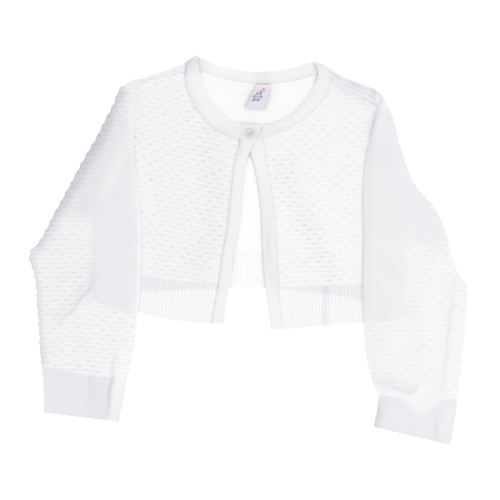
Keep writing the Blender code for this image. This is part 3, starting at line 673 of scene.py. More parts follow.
def honeycomb_finish(name, colour, dimple):
    """Matt cotton honeycomb knit with fine stitches, with painted shade in its dimples and along their rows.
    """
    made = Finish(name, colour, 0.95, sheen=0.1, slot="honeycomb_knit")
    u, v = made.knit_place()
    # Painted shade along the rows of dimples, as strong as the mesh's dimple strength
    row = (made.wave(v, CELL_HIGH / 2.0, math.pi / 2.0) - 0.5) * made.attribute("dimples") * 0.2
    ground, past, cloud, fine = ground_of(made, colour, row)
    # Painted shade in the dimples, uneven from place to place
    uneven_dimple_shade = 0.8 + (cloud - 0.5) * 1.0 + (made.noise(140.0, 1.0) - 0.5) * 2.2
    depth = dimple_mask(made, u, v) * made.attribute("dimples") * uneven_dimple_shade
    # Deeper painted shade in the dimples where the cloth's painted shade is past full
    dimple = made.mix(past, dimple, tuple(0.62 * c for c in dimple))
    made.set("Base Color", made.mix(depth.maths("MAXIMUM", 0.0), ground, dimple))
    stitches = made.wave(v + made.wave(u, 1.5) * 0.5, 1.25) * made.wave(u, 1.5)
    made.bump(stitches * 0.6 + fine * 0.5, 0.0003, 0.5)
    return made


def fine_knit_finish(name, colour, pitch=1.75):
    """Close, fine knit for bands and cuffs: narrow wales along the piece."""
    made = Finish(name, colour, 0.93, sheen=0.1, slot="plain_knit")
    u, v = made.knit_place()
    wale = made.wave(u, pitch)
    # Painted shade between the wales
    ground, _, _, fine = ground_of(made, colour, (1.0 - wale) * 0.03)
    made.set("Base Color", ground)
    stitches = wale * (0.6 + 0.4 * made.wave(v + wale * 0.4, 1.2))
    made.bump(stitches + fine * 0.3, 0.00025, 0.35)
    return made


def rib_finish(name, colour, furrow_shade):
    """Ribbed knit: light ribs with painted shade in the furrows between them."""
    made = Finish(name, colour, 0.94, sheen=0.1, slot="rib_knit")
    u, v = made.knit_place()
    rib = made.wave(u, RIB_PITCH, math.pi / 2.0)
    ground, _, _, fine = ground_of(made, colour, (1.0 - rib) * furrow_shade)
    made.set("Base Color", ground)
    stitches = made.wave(v + rib * 0.7, 1.3) * rib
    made.bump(stitches + fine * 0.3, 0.0003, 0.5)
    return made


# Meshes


def make_piece(name, points, faces, finish, nodes=(), knit=None, tone=None, wall=None, dimples=None):
    """A piece from points in millimetres, with its place on the cloth and its painted shade at each point."""
    mesh = bpy.data.meshes.new(name)
    spots = np.array(points, dtype=float)
    spots[:, 0] += SHIFT[0]
    spots[:, 1] += SHIFT[1]
    mesh.from_pydata((spots * MM).tolist(), [], faces if isinstance(faces, list) else faces.tolist())
    mesh.update()
    if knit is not None:
        layer = mesh.uv_layers.new(name="Knit")
        index = np.empty(len(mesh.loops), dtype=np.int32)
        mesh.loops.foreach_get("vertex_index", index)
        layer.data.foreach_set("uv", np.asarray(knit, dtype=np.float32)[index].ravel())
    # The painted shade and light at each point, and how strongly the dimples' painted shade shows, ride on
    # the mesh
    for label, values in (("tone", tone), ("dimples", dimples)):
        if values is not None:
            attribute = mesh.attributes.new(label, "FLOAT", "POINT")
            attribute.data.foreach_set("value", np.asarray(values, dtype=np.float32).ravel())
    mesh.polygons.foreach_set("use_smooth", np.ones(len(mesh.polygons), dtype=bool))
    corner_edge = np.empty(len(mesh.loops), dtype=np.int32)
    mesh.loops.foreach_get("edge_index", corner_edge)
    rim = np.bincount(corner_edge, minlength=len(mesh.edges)) == 1
    sharp = mesh.attributes.new("sharp_edge", "BOOLEAN", "EDGE")
    sharp.data.foreach_set("value", rim)
    made = bpy.data.objects.new(name, mesh)
    bpy.context.scene.collection.objects.link(made)
    mesh.materials.append(finish.material)
    if wall:
        shell = made.modifiers.new("Cloth", "SOLIDIFY")
        shell.thickness = wall * MM
        shell.offset = -1.0
    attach(made, "root")
    if nodes:
        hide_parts(*nodes)
    return made


def grid_faces(across, along, closed=False):
    """Faces of a grid whose points run along each line, line after line."""
    i = np.arange(across if closed else across - 1)
    j = np.arange(along - 1)
    a, b = np.meshgrid(i, j, indexing="ij")
    c = (a + 1) % across
    quads = np.stack([a * along + b, c * along + b, c * along + b + 1, a * along + b + 1], axis=-1)
    return quads.reshape(-1, 4)


def normals_of(points, closed=False):
    """Unit normals of a grid of points, across by along by 3."""
    if closed:
        across = np.roll(points, -1, axis=0) - np.roll(points, 1, axis=0)
    else:
        across = np.gradient(points, axis=0)
    along = np.gradient(points, axis=1)
    normal = np.cross(across, along)
    return normal / np.maximum(np.linalg.norm(normal, axis=2, keepdims=True), 1e-9)


def make_strip(name, grid, finish, nodes, u, v, tone=None, wall=SHELL, dimples=None, closed=False):
    """A piece from a grid of points; a strip's last faces look up, and a tube's first ones down."""
    faces = grid_faces(grid.shape[0], grid.shape[1], closed)
    knit = np.column_stack([u.ravel(), v.ravel()])
    made = make_piece(name, grid.reshape(-1, 3), faces, finish, nodes, knit, tone, wall, dimples)
    if closed:
        turned = sum(face.normal.z for face in made.data.polygons[:60]) > 0
    else:
        turned = sum(face.normal.z for face in made.data.polygons[-40:]) < 0
    if turned:
        made.data.flip_normals()
    return made


def fill_outline(outline, wide, high):
    """Points and triangles that fill an outline, on a lattice in brick order."""
    ring = np.asarray(outline, dtype=float)
    low, top = ring.min(axis=0), ring.max(axis=0)
    ys = np.arange(low[1] + high / 2, top[1], high)
    rows = []
    for k, y in enumerate(ys):
        xs = np.arange(low[0] + (0.5 if k % 2 else 0.0) * wide, top[0], wide)
        rows.append(np.stack([xs, np.full(len(xs), y)], axis=1))
    lattice = np.vstack(rows)
    inside = np.zeros(len(lattice), dtype=bool)
    near = np.full(len(lattice), 1e9)
    for a, b in zip(ring, np.roll(ring, -1, axis=0)):
        crosses = (a[1] > lattice[:, 1]) != (b[1] > lattice[:, 1])
        with np.errstate(divide="ignore", invalid="ignore"):
            x_at = a[0] + (lattice[:, 1] - a[1]) * (b[0] - a[0]) / (b[1] - a[1])
        inside ^= crosses & (lattice[:, 0] < x_at)
        run = b - a
        share = np.clip(((lattice - a) @ run) / max(run @ run, 1e-9), 0.0, 1.0)
        near = np.minimum(near, np.linalg.norm(lattice - a - share[:, None] * run, axis=1))
    lattice = lattice[inside & (near > 0.45 * high)]
    every = np.vstack([ring, lattice])
    count = len(ring)
    edges = [(k, (k + 1) % count) for k in range(count)]
    made = delaunay_2d_cdt([Vector(p) for p in every.tolist()], edges, [], 1, 1e-6)
    points = np.array([(p.x, p.y) for p in made[0]])
    return points, [tuple(face) for face in made[2]], ring


def from_edge(ring, x, y):
    """Distance of points from an outline."""
    closed = [tuple(p) for p in ring] + [tuple(ring[0])]
    return np.abs(off_line(closed, x, y))


# Body


def densify(points, step):
    """A line of points with more of them, straight between the old ones."""
    made = []
    for a, b in zip(points, points[1:]):
        a, b = np.array(a, dtype=float), np.array(b, dtype=float)
        count = max(1, int(round(np.linalg.norm(b - a) / step)))
        made += [a + (b - a) * k / count for k in range(count)]
    made.append(np.array(points[-1], dtype=float))
    return np.array(made)


def neck_rail(rows, offset):
    """The neckband's seam edge as a smooth curve, moved away from the neck."""
    rail = curve([row[:2] for row in rows], step=2.0)
    free = curve([row[2:] for row in rows], count=len(rail))
    away = rail - free
    return rail + away / np.linalg.norm(away, axis=1, keepdims=True) * offset


def front_outline(side):
    """Outline of a front panel, its welt seam first, and the line of its band and neck seams."""
    if side == "right":
        welt = [(x, read(RIGHT_WELT, x, 1) - TUCK) for x in np.linspace(HEM_ENDS[0], -32.0, 60)]
        band = [(read(RIGHT_EDGE, y, 1) + TUCK, y) for y in np.linspace(-36.5, 114.9, 90)]
        neck = neck_rail(NECK_RIGHT_FRONT[4:], -TUCK)
        neck = [p for p in neck.tolist() if p[0] < -10.6 and p[1] < 186.0]
        shoulder = [(-66.6, 187.1), (-110.9, 176.6)]
        armhole = [(-112.6, 175.8), (-123.0, 112.0)]
        side_line = [armhole[-1], *RIGHT_SIDE[1:5], (-165.9, 10.0), (HEM_ENDS[0], -14.0)]
    else:
        welt = [(x, read(LEFT_WELT, x, 1) - TUCK) for x in np.linspace(HEM_ENDS[1], 30.2, 60)]
        band = [(read(LEFT_EDGE, y, 1) - TUCK, y) for y in np.linspace(-40.5, 117.0, 90)]
        neck = neck_rail(NECK_LEFT_FRONT[:8], -TUCK)[::-1]
        neck = [p for p in neck.tolist() if p[0] > 14.6 and p[1] < 179.8]
        shoulder = [(83.0, 182.2), (101.9, 166.9), (117.6, 160.0), (130.8, 153.2)]
        armhole = [(132.9, 152.6), (134.4, 129.0)]
        side_line = [armhole[-1], *LEFT_SIDE[1:7]]
    top = densify(shoulder, 2.0).tolist() + densify(armhole, 2.0).tolist()
    side_points = curve(side_line, step=3.0).tolist()[1:-1]
    return np.array(welt + band + neck + top + side_points), np.array(band + neck)


def knit_on_front(x, y, side):
    """Place on a front's cloth, whose rows slope as its welt does, and a little more near the neck."""
    if side == "right":
        slope = 0.158 + 0.06 * smooth((y + 30.0) / 150.0)
        return np.stack(uneven(x - 0.16 * y, y + slope * (x + 33.0)), axis=1)
    return np.stack(uneven(x + 0.05 * y, y - 0.05 * (x - 31.0)), axis=1)


def build_front(side, finish):
    """A front panel's honeycomb shell."""
    sleeve_from, plain, at_band = FRONT_LOOKS[side]
    outline, seam = front_outline(side)
    points, faces, ring = fill_outline(outline, MESH_WIDE, MESH_HIGH)
    x, y = points[:, 0], points[:, 1]
    knit = knit_on_front(x, y, side)
    edge = from_edge(ring, x, y)
    by_band = np.abs(off_line([tuple(p) for p in seam], x, y))
    relief = honeycomb(knit[:, 0], knit[:, 1]) * smooth(edge / 3.0)
    folded, crook_shade = folds(FRONT_FOLDS, x, y)
    puckered, rim = pucker(x, y)
    z = front_height(x, y) + CLOTH + relief + folded + puckered * smooth(edge / 3.0)
    under_sleeve = smooth((np.abs(x) - sleeve_from) / 2.0) * smooth((y - 100.0) / 5.0)
    z = z - 0.7 * smooth(1.0 - edge / 1.5) * (1.0 - under_sleeve) - 0.2 * smooth(1.0 - by_band / 3.4)
    # Painted shade along the front's shade lines, in the folds' crooks, round the pucker and along the band's
    # seam where the band stands above it, and painted light by the right sleeve's edge
    tone = plain + creases(FRONT_SHADES, x, y) + 0.5 * crook_shade + rim
    tone += at_band * smooth((3.2 - by_band) / 2.2)
    made = make_piece(f"front_{side}_knit", np.column_stack([x, y, z]), faces, finish,
                      [f"front_{side}"], knit, tone, SHELL, dimple_shade_seen(x, y))


def build_back(finish, outside):
    """The back panel's shell: its flat part, and its rolls over the shoulders, whose outside shows."""
    welt = [(x, read(BACK_WELT, x, 1) - TUCK) for x in np.linspace(*HEM_ENDS, 120)]
    left_side = curve([(HEM_ENDS[1], -31.0), (165.5, -5.0), *LEFT_SIDE[:6][::-1]], step=3.0).tolist()[1:]
    rolls = {}
    for side, (silhouette, seam, out) in SHOULDER_ROLLS.items():
        start = curve(silhouette, count=34) - np.array(out) * SHOULDER_ROLL
        rolls[side] = (start, curve(seam, count=34), out)
    neck = neck_rail(NECK_BACK, -TUCK)[::-1]
    neck = [p for p in neck.tolist() if -65.0 < p[0] < 79.0]
    right_side = curve([*RIGHT_SIDE[:5], (-165.9, 10.0), (HEM_ENDS[0], -13.7)], step=3.0).tolist()[:-1]
    tops = [rolls[side][0].tolist() for side in ("left", "right")]
    outline = np.array(welt + left_side + tops[0] + neck + tops[1] + right_side)
    points, faces, ring = fill_outline(outline, MESH_WIDE * 1.1, MESH_HIGH * 1.1)
    x, y = points[:, 0], points[:, 1]
    slope = (read(BACK_WELT, x, 1) + 1.0) * smooth((60.0 - y) / 90.0)
    knit = np.stack(uneven(x + 3.0, y - slope + 2.0), axis=1)
    relief = honeycomb(knit[:, 0], knit[:, 1]) * smooth(from_edge(ring, x, y) / 3.0) * 0.5
    z = CLOTH - 0.12 + relief
    # Painted shade: the back darker towards the top
    tone = 0.2 * smooth((y - 90.0) / 60.0)
    made = make_piece("back_knit", np.column_stack([x, y, z]), faces, finish, ["back"], knit, tone, SHELL,
                      np.full(len(x), 0.45))
    for side, (start, stop, out) in rolls.items():
        build_roll(side, start, stop, out, outside)


def build_roll(side, start, stop, out, finish):
    """The back's roll over a shoulder, from its flat part round and forward to the seam."""
    turns = np.radians(np.linspace(-12, 180, 26))
    reach = SHOULDER_ROLL * np.sin(turns)
    rise = SHOULDER_ROLL * (1.0 - np.cos(turns))
    rise[0] = 0.12
    shares = np.linspace(0.0, 1.0, 12)[1:, None]
    top = np.full(len(shares), 2 * SHOULDER_ROLL)
    top[-1] -= 0.35
    top[-2] -= 0.12
    lines = []
    for a, b in zip(start, stop):
        arc = np.column_stack([a[0] + out[0] * reach, a[1] + out[1] * reach, rise])
        flat = np.column_stack([a[None, :] + (b - a)[None, :] * shares, top])
        lines.append(np.vstack([arc, flat]))
    grid = np.array(lines)
    run = lengths(grid[17])
    across = lengths(grid[:, 10])
    u, v = np.meshgrid(across, run, indexing="ij")
    normal = normals_of(grid)
    if normal[:, -3:, 2].mean() < 0:
        normal = -normal
    grid = grid + normal * (honeycomb(u, v) * 0.7 * smooth(np.minimum(v, run[-1] - v) / 2.0))[:, :, None]
    # Painted shade on the rolls: the left one darker towards its silhouette, with blotches of painted shade
    # (knots) along it
    tone = np.full(u.shape, 0.24)
    seen = np.full(u.shape, 0.5)
    if side == "left":
        back_of = 1.0 - v / run[-1]
        knots = 0.2 * np.sin(u / 2.9 + 1.5 * np.sin(u / 7.7)) * smooth(back_of / 0.5)
        tone = 0.45 + 0.25 * smooth(back_of / 0.6) + knots
        seen = np.full(u.shape, 1.1)
    piece = make_strip(f"back_shoulder_roll_{side}", grid, finish, [], u, v, tone, dimples=seen)


def build_welt(node, table, start, end, finish, height, tone_at, relief=RIB_RELIEF):
    """A ribbed welt: rounded ribs that run down to the hem."""
    ribs = int(round(abs(end[0] - start[0]) / RIB_PITCH))
    share = np.linspace(0.0, 1.0, ribs * RIB_COLUMNS + 1)
    x_top = start[0] + (end[0] - start[0]) * share
    x_foot = start[1] + (end[1] - start[1]) * share
    down = np.linspace(0.0, 1.0, 28)
    y_top = read(table, x_top, 1)
    y_foot = read(table, x_foot, 2)
    x = x_top[:, None] + (x_foot - x_top)[:, None] * down
    y = y_top[:, None] + (y_foot - y_top)[:, None] * down
    along = np.abs(y - y_top[:, None])
    u = np.repeat((share * ribs * RIB_PITCH)[:, None], len(down), axis=1)
    ridge = (0.5 + 0.5 * np.cos(2 * np.pi * u / RIB_PITCH)) ** 0.7
    ends = smooth(along / 6.0) * smooth((along.max(axis=1)[:, None] - along) / 1.2)
    z = height(x, y) + CLOTH - 0.15 + relief * ridge * (0.15 + 0.85 * ends)
    piece = make_strip(f"{node}_knit", np.stack([x, y, z], axis=2), finish, [node], u, along, tone_at(x, y))


def lap_height(x, y):
    """How far the right front's edge is lifted where it laps over the left one."""
    return (CLOTH + LAYER + 0.1) * smooth((x + 12.0) / 6.5) * smooth((y - 90.0) / 10.0)


def build_band(side, finish):
    """A front band: a flat strip with soft edges."""
    low, high, slant = BAND_ENDS[side]
    rows = curve(sorted(RIGHT_EDGE if side == "right" else LEFT_EDGE), step=1.0)
    ys = np.linspace(low, high, 200)
    seam = np.interp(ys, rows[:, 0], rows[:, 1])
    free = np.interp(ys, rows[:, 0], rows[:, 2])
    share = np.linspace(0.0, 1.0, 17)
    x = seam[None, :] + (free - seam)[None, :] * share[:, None]
    y = ys[None, :] + slant * smooth((ys - 95.0) / 19.0)[None, :] * share[:, None]
    round_off = (np.where(share < 0.5, 0.35, 0.55) * np.abs(2.0 * share - 1.0) ** 5)[:, None]
    z = front_height(x, y) + CLOTH + 0.15 - round_off
    if side == "right":
        z = z + lap_height(x, y)
    z = z - 0.5 * (1.0 - smooth((ys - low) / 1.5))[None, :]
    width = np.abs(free - seam).mean()
    u, v = np.meshgrid(share * width, ys, indexing="ij")
    # Painted shade: the band darker towards its edges and along its shade lines, and the right band darker
    # along its seam where it stands above the front
    tone = 0.16 + 0.2 * np.abs(2.0 * u / width - 1.0) ** 4
    tone += creases(BAND_SHADES, x, y)
    if side == "right":
        tone += 0.06 + 0.4 * smooth(1.0 - u / 3.4)
    grid = np.stack([x, y, z], axis=2)
    piece = make_strip(f"front_band_{side}_knit", grid, finish, [f"front_band_{side}"], u, v, tone)


def build_neckband(finish):
    """The neckband: one soft-edged strip round the whole neck, lapped at the front."""
    share = np.linspace(0.0, 1.0, 19)

    def lines_of(rows, height):
        seam_and_free = curve(rows, step=1.6)
        made = []
        for row in seam_and_free:
            x = row[0] + (row[2] - row[0]) * share
            y = row[1] + (row[3] - row[1]) * share
            made.append(np.column_stack([x, y, height(x, y)]))
        return made

    def turn(line, up):
        seam, free = np.array(line[:2]), np.array(line[2:])
        run = (free - seam) / np.linalg.norm(free - seam)
        out = np.array([-run[1], run[0]])
        out = out if out[1] > 0 else -out
        angles = np.linspace(0.0, 180.0, 13)
        made = []
        for degrees in angles if up else angles[::-1]:
            angle = math.radians(degrees)
            rise = NECKBAND_ROLL * (1.0 - math.cos(angle))
            reach = NECKBAND_ROLL * (math.sin(angle) - 1.0)
            spots = seam + (free - seam) * share[:, None] + out * reach
            made.append(np.column_stack([spots, np.full(len(share), rise)]))
        return made

    def right_top(x, y):
        lift = (NECKBAND_CLOTH + LAYER) * smooth((x + 12.5) / 8.5)
        return front_height(x, y) + NECKBAND_CLOTH + lift

    def left_top(x, y):
        return front_height(x, y) + NECKBAND_CLOTH

    lines = lines_of(NECK_RIGHT_FRONT, right_top)
    lines += turn(NECK_TURN_RIGHT, up=False)
    lines += lines_of(NECK_BACK, lambda x, y: np.zeros(len(x)))
    lines += turn(NECK_TURN_LEFT, up=True)
    lines += lines_of(NECK_LEFT_FRONT, left_top)
    grid = np.array(lines)
    normal = normals_of(grid)
    if normal[3, :, 2].mean() < 0:
        normal = -normal
    round_off = np.where(share < 0.5, 0.8, 0.5) * np.abs(2.0 * share - 1.0) ** 4
    grid = grid - normal * round_off[None, :, None]
    over_front = smooth((grid[:, 9, 2] - 3.0) / 1.0)
    grid[:, :, 2] -= 0.9 * over_front[:, None] * smooth((share - 0.45) / 0.55)[None, :]
    run = lengths(grid[:, 9])
    wide = np.linalg.norm(grid[30, -1] - grid[30, 0])
    u, v = np.meshgrid(run, share * wide, indexing="ij")
    x, y = grid[:, :, 0], grid[:, :, 1]
    # Painted shade: the neckband darker by its seam and low on the front, lighter and darker patches of
    # painted light and shade (spots) at the back, and darker at the shoulder corners
    tone = 0.18 + 0.2 * smooth(1.0 - v / wide / 0.45)
    at_back = smooth((y - 165.0) / 4.0)
    spots = 0.25 * smooth(1.0 - np.abs(x - 14.0) / 14.0) - 0.16 * smooth(1.0 - np.abs(x + 30.0) / 24.0)
    tone += spots * at_back
    tone += 0.15 * smooth((135.0 - y) / 10.0)
    corner = smooth(1.0 - np.hypot(x + 66.0, y - 199.0) / 24.0)
    tone += 0.9 * corner + 0.6 * smooth(corner * 2.0) * smooth((3.0 - v) / 2.0)
    tone += 0.4 * smooth(1.0 - np.hypot(x - 77.0, y - 193.0) / 10.0)
    piece = make_strip("neckband_knit", grid, finish, ["neckband"], u, v, tone, NECKBAND_SHELL)


# Sleeves


def sleeve_grid(table, fullness, mesh):
    """Points of a flattened tube: under wall, fold, upper wall, fold, by rings along it, and their places."""
    step, over_wide, under_wide = mesh
    rails = curve(table, step=step)
    outer, inner = rails[:, :2], rails[:, 2:]
    width = np.linalg.norm(inner - outer, axis=1)
    run = lengths((outer + inner) / 2.0)
    across = (inner - outer) / width[:, None]
    full = np.linspace(fullness[0], fullness[1], len(rails))
    flat_edge = SLEEVE_INNER_EDGE
    lines, marks, place = [], [], []

    def spot(along):
        return outer + across * along[:, None]

    def lies_on(p):
        return sleeve_height(p[:, 0], p[:, 1])

    def add_line(p, height, mark, at):
        lines.append(np.column_stack([p, height]))
        marks.append(mark)
        place.append(at)

    for share in np.linspace(0.0, 1.0, max(8, int(width.max() / under_wide))):
        along = SLEEVE_EDGE + (width - SLEEVE_EDGE - flat_edge) * share
        p = spot(along)
        add_line(p, lies_on(p), 0.0, along - width)
    base = lies_on(spot(width - flat_edge))
    for degrees in FOLD_TURNS:
        angle = math.radians(degrees)
        p = spot(width - flat_edge + flat_edge * math.cos(angle))
        height = base + flat_edge * (1 + math.sin(angle)) - 0.5 * math.cos(angle)
        add_line(p, height, 0.5 + 0.5 * math.sin(angle), width + 0.8 - degrees / 60.0)
    for share in np.linspace(0.0, 1.0, max(8, int(width.max() / over_wide))):
        along = width - flat_edge - (width - SLEEVE_EDGE - flat_edge) * share
        p = spot(along)
        soft = 4.0 * share * (1.0 - share)
        edge = flat_edge + (SLEEVE_EDGE - flat_edge) * smooth((width - flat_edge - along) / 11.0)
        high = 2.0 * edge + full * soft + creases(SLEEVE_CREASES, p[:, 0], p[:, 1]) * min(1.0, 3.0 * soft)
        high = np.maximum(high, 2.0 * flat_edge)
        add_line(p, lies_on(p) + high, 1.0, along)
    base = lies_on(spot(np.full(len(width), SLEEVE_EDGE)))
    for degrees in FOLD_TURNS[::-1]:
        angle = math.radians(degrees)
        p = spot(np.full(len(width), SLEEVE_EDGE - SLEEVE_EDGE * math.cos(angle)))
        height = base + SLEEVE_EDGE * (1 + math.sin(angle))
        add_line(p, height, 0.5 + 0.5 * math.sin(angle), degrees / 36.0 - 1.2 + np.zeros(len(width)))
    grid = np.array(lines)
    u = np.array(place) - width[None, :] / 2.0
    normal = normals_of(grid, closed=True)
    if normal[2, :, 2].mean() > 0:
        normal = -normal
    marks = np.array(marks)[:, None]
    on_outer = (np.arange(len(marks)) >= len(marks) - len(FOLD_TURNS))[:, None]
    return grid, normal, u, marks, on_outer, run, width


def build_sleeve(side, finish):
    """A sleeve's honeycomb shell."""
    right = side == "right"
    table = RIGHT_SLEEVE if right else LEFT_SLEEVE
    plain, on_body, in_crook, stands = SLEEVE_LOOKS[side]
    fullness = (SLEEVE_FULLNESS, SLEEVE_FULLNESS)
    grid, normal, _, marks, on_outer, run, width = sleeve_grid(table, fullness, SLEEVE_MESH)
    outer_fold = np.exp(-(((marks - 0.5) / 0.42) ** 2)) * on_outer
    ends = smooth((run[-1] - run) / 3.0)[None, :]
    x, y = grid[:, :, 0], grid[:, :, 1]
    u, v = uneven(x + 0.05 * y, y + 1.6 * np.sin(x / 23.0) + 1.4 * np.sin(x / 34.0 + y / 60.0))
    rows = np.cos(2 * np.pi * (v / CELL_HIGH)) + 0.35 * np.cos(4 * np.pi * v / CELL_HIGH)
    side_in, hem_in = body_under(x, y)
    blur = 1.5 * np.sin(x / 5.3 + y / 3.7) + 1.5 * np.sin(y / 6.1)
    over_body = smooth((side_in + blur + 4.5) / 9.0) * smooth((hem_in + blur + 3.5) / 7.0)
    folded, crook_shade = folds(SLEEVE_FOLDS, x, y)
    puckered, rim = pucker(x, y)
    if right:
        knit_end = smooth(0.5 - off_line(CUFF_TOP, x, y) / 4.0)
    else:
        knit_end = smooth((off_line(HONEYCOMB_END, x, y) + 1.5) / 3.0) * smooth((186.0 - x) / 4.0)

    # The sleeve's head comes down to the front that it is sewn to
    joined = smooth(run / 16.0)[None, :]
    upper = marks > 0.999
    inner_fold = (marks > 0.0) & (marks < 1.0) & ~on_outer
    raised = front_height(x, y) + CLOTH + 0.1
    sunk = raised - 1.2 * (1.0 - marks)
    grid[:, :, 2] = np.where(inner_fold, grid[:, :, 2] * joined + sunk * (1.0 - joined), grid[:, :, 2])
    grid[:, :, 2] = np.where(upper, grid[:, :, 2] * joined + raised * (1.0 - joined), grid[:, :, 2])

    # Painted shade: the upper sleeve, the part over the body and the folds' crooks darker, the right sleeve's
    # end as dark as its cuff, and the pucker's rim darker
    high = smooth((y - 28.0) / 10.0) if right else smooth((y + 2.0) / 20.0)
    high = high * (1.0 - over_body)
    tone = plain + on_body * over_body + 0.16 * high
    tone += creases(SLEEVE_SHADES, x, y) + in_crook * crook_shade
    if right:
        tone = tone * (1.0 - knit_end) + 0.58 * knit_end
    tone += rim
    # Painted light along the right sleeve's inner edge, and painted shade along most of the left one's
    inner = np.linalg.norm(grid[:, :, :2] - curve(table, step=SLEEVE_MESH[0])[None, :, 2:], axis=2)
    at_edge = -0.35 if right else np.interp(y, *LEFT_EDGE_PAINTED_SHADE)
    tone += at_edge * smooth((5.5 - inner) / 4.0)

    relief = honeycomb(u, v) * ends * (0.35 + 0.65 * marks) * (1.0 - 0.35 * over_body) * (1.0 - knit_end)
    relief = relief + SCALLOP * stands * rows * outer_fold * ends + (folded + puckered) * upper
    dip = 0.05 * (1.0 - ends) * marks
    grid = grid + normal * (relief - dip)[:, :, None]
    grid[:, :, 2] = np.maximum(grid[:, :, 2], LEAST_HEIGHT)
    # Less painted shade in the dimples on the upper sleeve, over the body and past the honeycomb's end
    calm = 0.2 * high
    if right:
        calm += 0.55 * high * smooth((np.abs(off_line(SLEEVE_SHADES[0][2], x, y)) - 15.0) / 9.0)
    else:
        calm += 0.3 * high
    seen = dimple_shade_seen(x, y) * (1.0 - 0.75 * over_body) * (1.0 - calm) * (1.0 - knit_end)
    node = f"sleeve_{side}"
    made = make_strip(f"{node}_knit", grid, finish, [node], u, v, tone, SHELL, seen, closed=True)
    flat = (width.max() * 2 * MM, run[-1] * MM)
    area = width.mean() * 2 * MM * flat[1]


def build_cuff(side, finish):
    """A cuff: a flattened tube of fine knit with an open end."""
    right = side == "right"
    table = list(RIGHT_CUFF if right else LEFT_CUFF)
    first = np.array(table[0])
    up = first - np.array(table[1])
    table.insert(0, tuple(first + up / np.linalg.norm(up[:2]) * TUCK * 1.5))
    fullness = (SLEEVE_FULLNESS, CUFF_FULLNESS)
    grid, normal, u, marks, _, run, width = sleeve_grid(table, fullness, CUFF_MESH)
    v = np.repeat(-run[None, :], grid.shape[0], axis=0)
    dip = (0.22 * (1.0 - smooth(run / 3.0)) + 0.3 * (1.0 - smooth((run[-1] - run) / 1.6)))[None, :]
    wale = 0.03 * np.cos(2 * np.pi * u / CUFF_WALE) * marks
    x, y = grid[:, :, 0], grid[:, :, 1]
    folded, crook_shade = folds(SLEEVE_FOLDS, x, y)
    # Painted shade: the right cuff darker all over, the left one darker below its roll and along its edge,
    # both darker in the folds' crooks; painted light past the right cuff's fold
    tone = 0.58 if right else 0.2 + 0.36 * smooth(0.5 - off_line(curve(CUFF_ROLL, step=3.0), x, y) / 10.0)
    tone = tone + creases(CUFF_SHADES, x, y) + 0.38 * crook_shade
    if right:
        past_fold = smooth((x - 0.17 * (y + 140.0) + 142.5) / 2.0)
        tone += 0.16 * smooth((x + 169.0 + 0.1 * (y + 155.0)) / 2.5) * (1.0 - past_fold)
        tone -= past_fold * (0.30 - 0.26 * smooth((-140.0 - y) / 40.0))
    raised = wale + folded * (marks > 0.999)
    grid = grid + normal * (raised - dip * (0.4 + 0.6 * marks))[:, :, None]
    grid[:, :, 2] = np.maximum(grid[:, :, 2], LEAST_HEIGHT)
    node = f"cuff_{side}"
    made = make_strip(f"{node}_knit", grid, finish, [node], u, v, tone, CUFF_SHELL, closed=True)
    width.mean() * 2 * MM
    run[-1] * MM


# Button and label


def build_button():
    """The pearly button: a turned disc with a rim and two holes, held by thread."""
    pearl = Finish("pearl", (0.80, 0.74, 0.76), 0.25, coat=0.6, slot="pearl_button")
    swirl = pearl.noise(420.0, 3.0)
    bands = pearl.noise(160.0, 1.0)
    tint = pearl.mix(bands, (0.64, 0.54, 0.55), (0.54, 0.53, 0.58))
    pearl.set("Base Color", pearl.mix(swirl, tint, (0.80, 0.73, 0.74)))
    pearl.bump(swirl, 0.0001, 0.3)
    profile = (
        (0.0, 0.1), (3.2, 0.1), (4.2, 0.45), (4.75, 1.1), (4.85, 1.6), (4.6, 2.1), (4.15, 2.35), (3.7, 2.25),
        (3.3, 1.85), (2.7, 1.6), (1.6, 1.5), (0.0, 1.48),
    )
    rail = curve(profile, count=40)
    rail[0, 0] = rail[-1, 0] = 0.0
    base = button_low[2] / MM
    turns = np.linspace(0, 2 * np.pi, 72, endpoint=False)
    points = [(0.0, 0.0, rail[0, 1]), (0.0, 0.0, rail[-1, 1])]
    rings = rail[1:-1]
    for radius, height in rings:
        points += [(radius * math.cos(t), radius * math.sin(t), height) for t in turns]
    count = len(turns)
    faces = []
    for k in range(count):
        n = (k + 1) % count
        faces.append((0, 2 + n, 2 + k))
        last = 2 + (len(rings) - 1) * count
        faces.append((1, last + k, last + n))
        for r in range(len(rings) - 1):
            a, b = 2 + r * count, 2 + (r + 1) * count
            faces.append((a + k, a + n, b + n, b + k))
    spots = np.array(points) + np.array([BUTTON_AT[0], BUTTON_AT[1], base])
    button = make_piece("button_pearl", spots, faces, pearl, ["button"])
    for side in (-1.0, 1.0):
        x = BUTTON_AT[0] + side * HOLE_AT[0] + SHIFT[0]
        y = BUTTON_AT[1] + side * HOLE_AT[1] + SHIFT[1]
        bpy.ops.mesh.primitive_cylinder_add(
            vertices=24, radius=BUTTON_HOLE * MM, depth=8 * MM, location=(x * MM, y * MM, (base + 1.0) * MM)
        )
        cutter = bpy.context.object
        hole = button.modifiers.new("Hole", "BOOLEAN")
        hole.operation = "DIFFERENCE"
        hole.solver = "EXACT"
        hole.object = cutter
        bpy.context.view_layer.objects.active = button
        bpy.ops.object.modifier_apply(modifier=hole.name)
        bpy.data.objects.remove(cutter)
    build_thread(base)


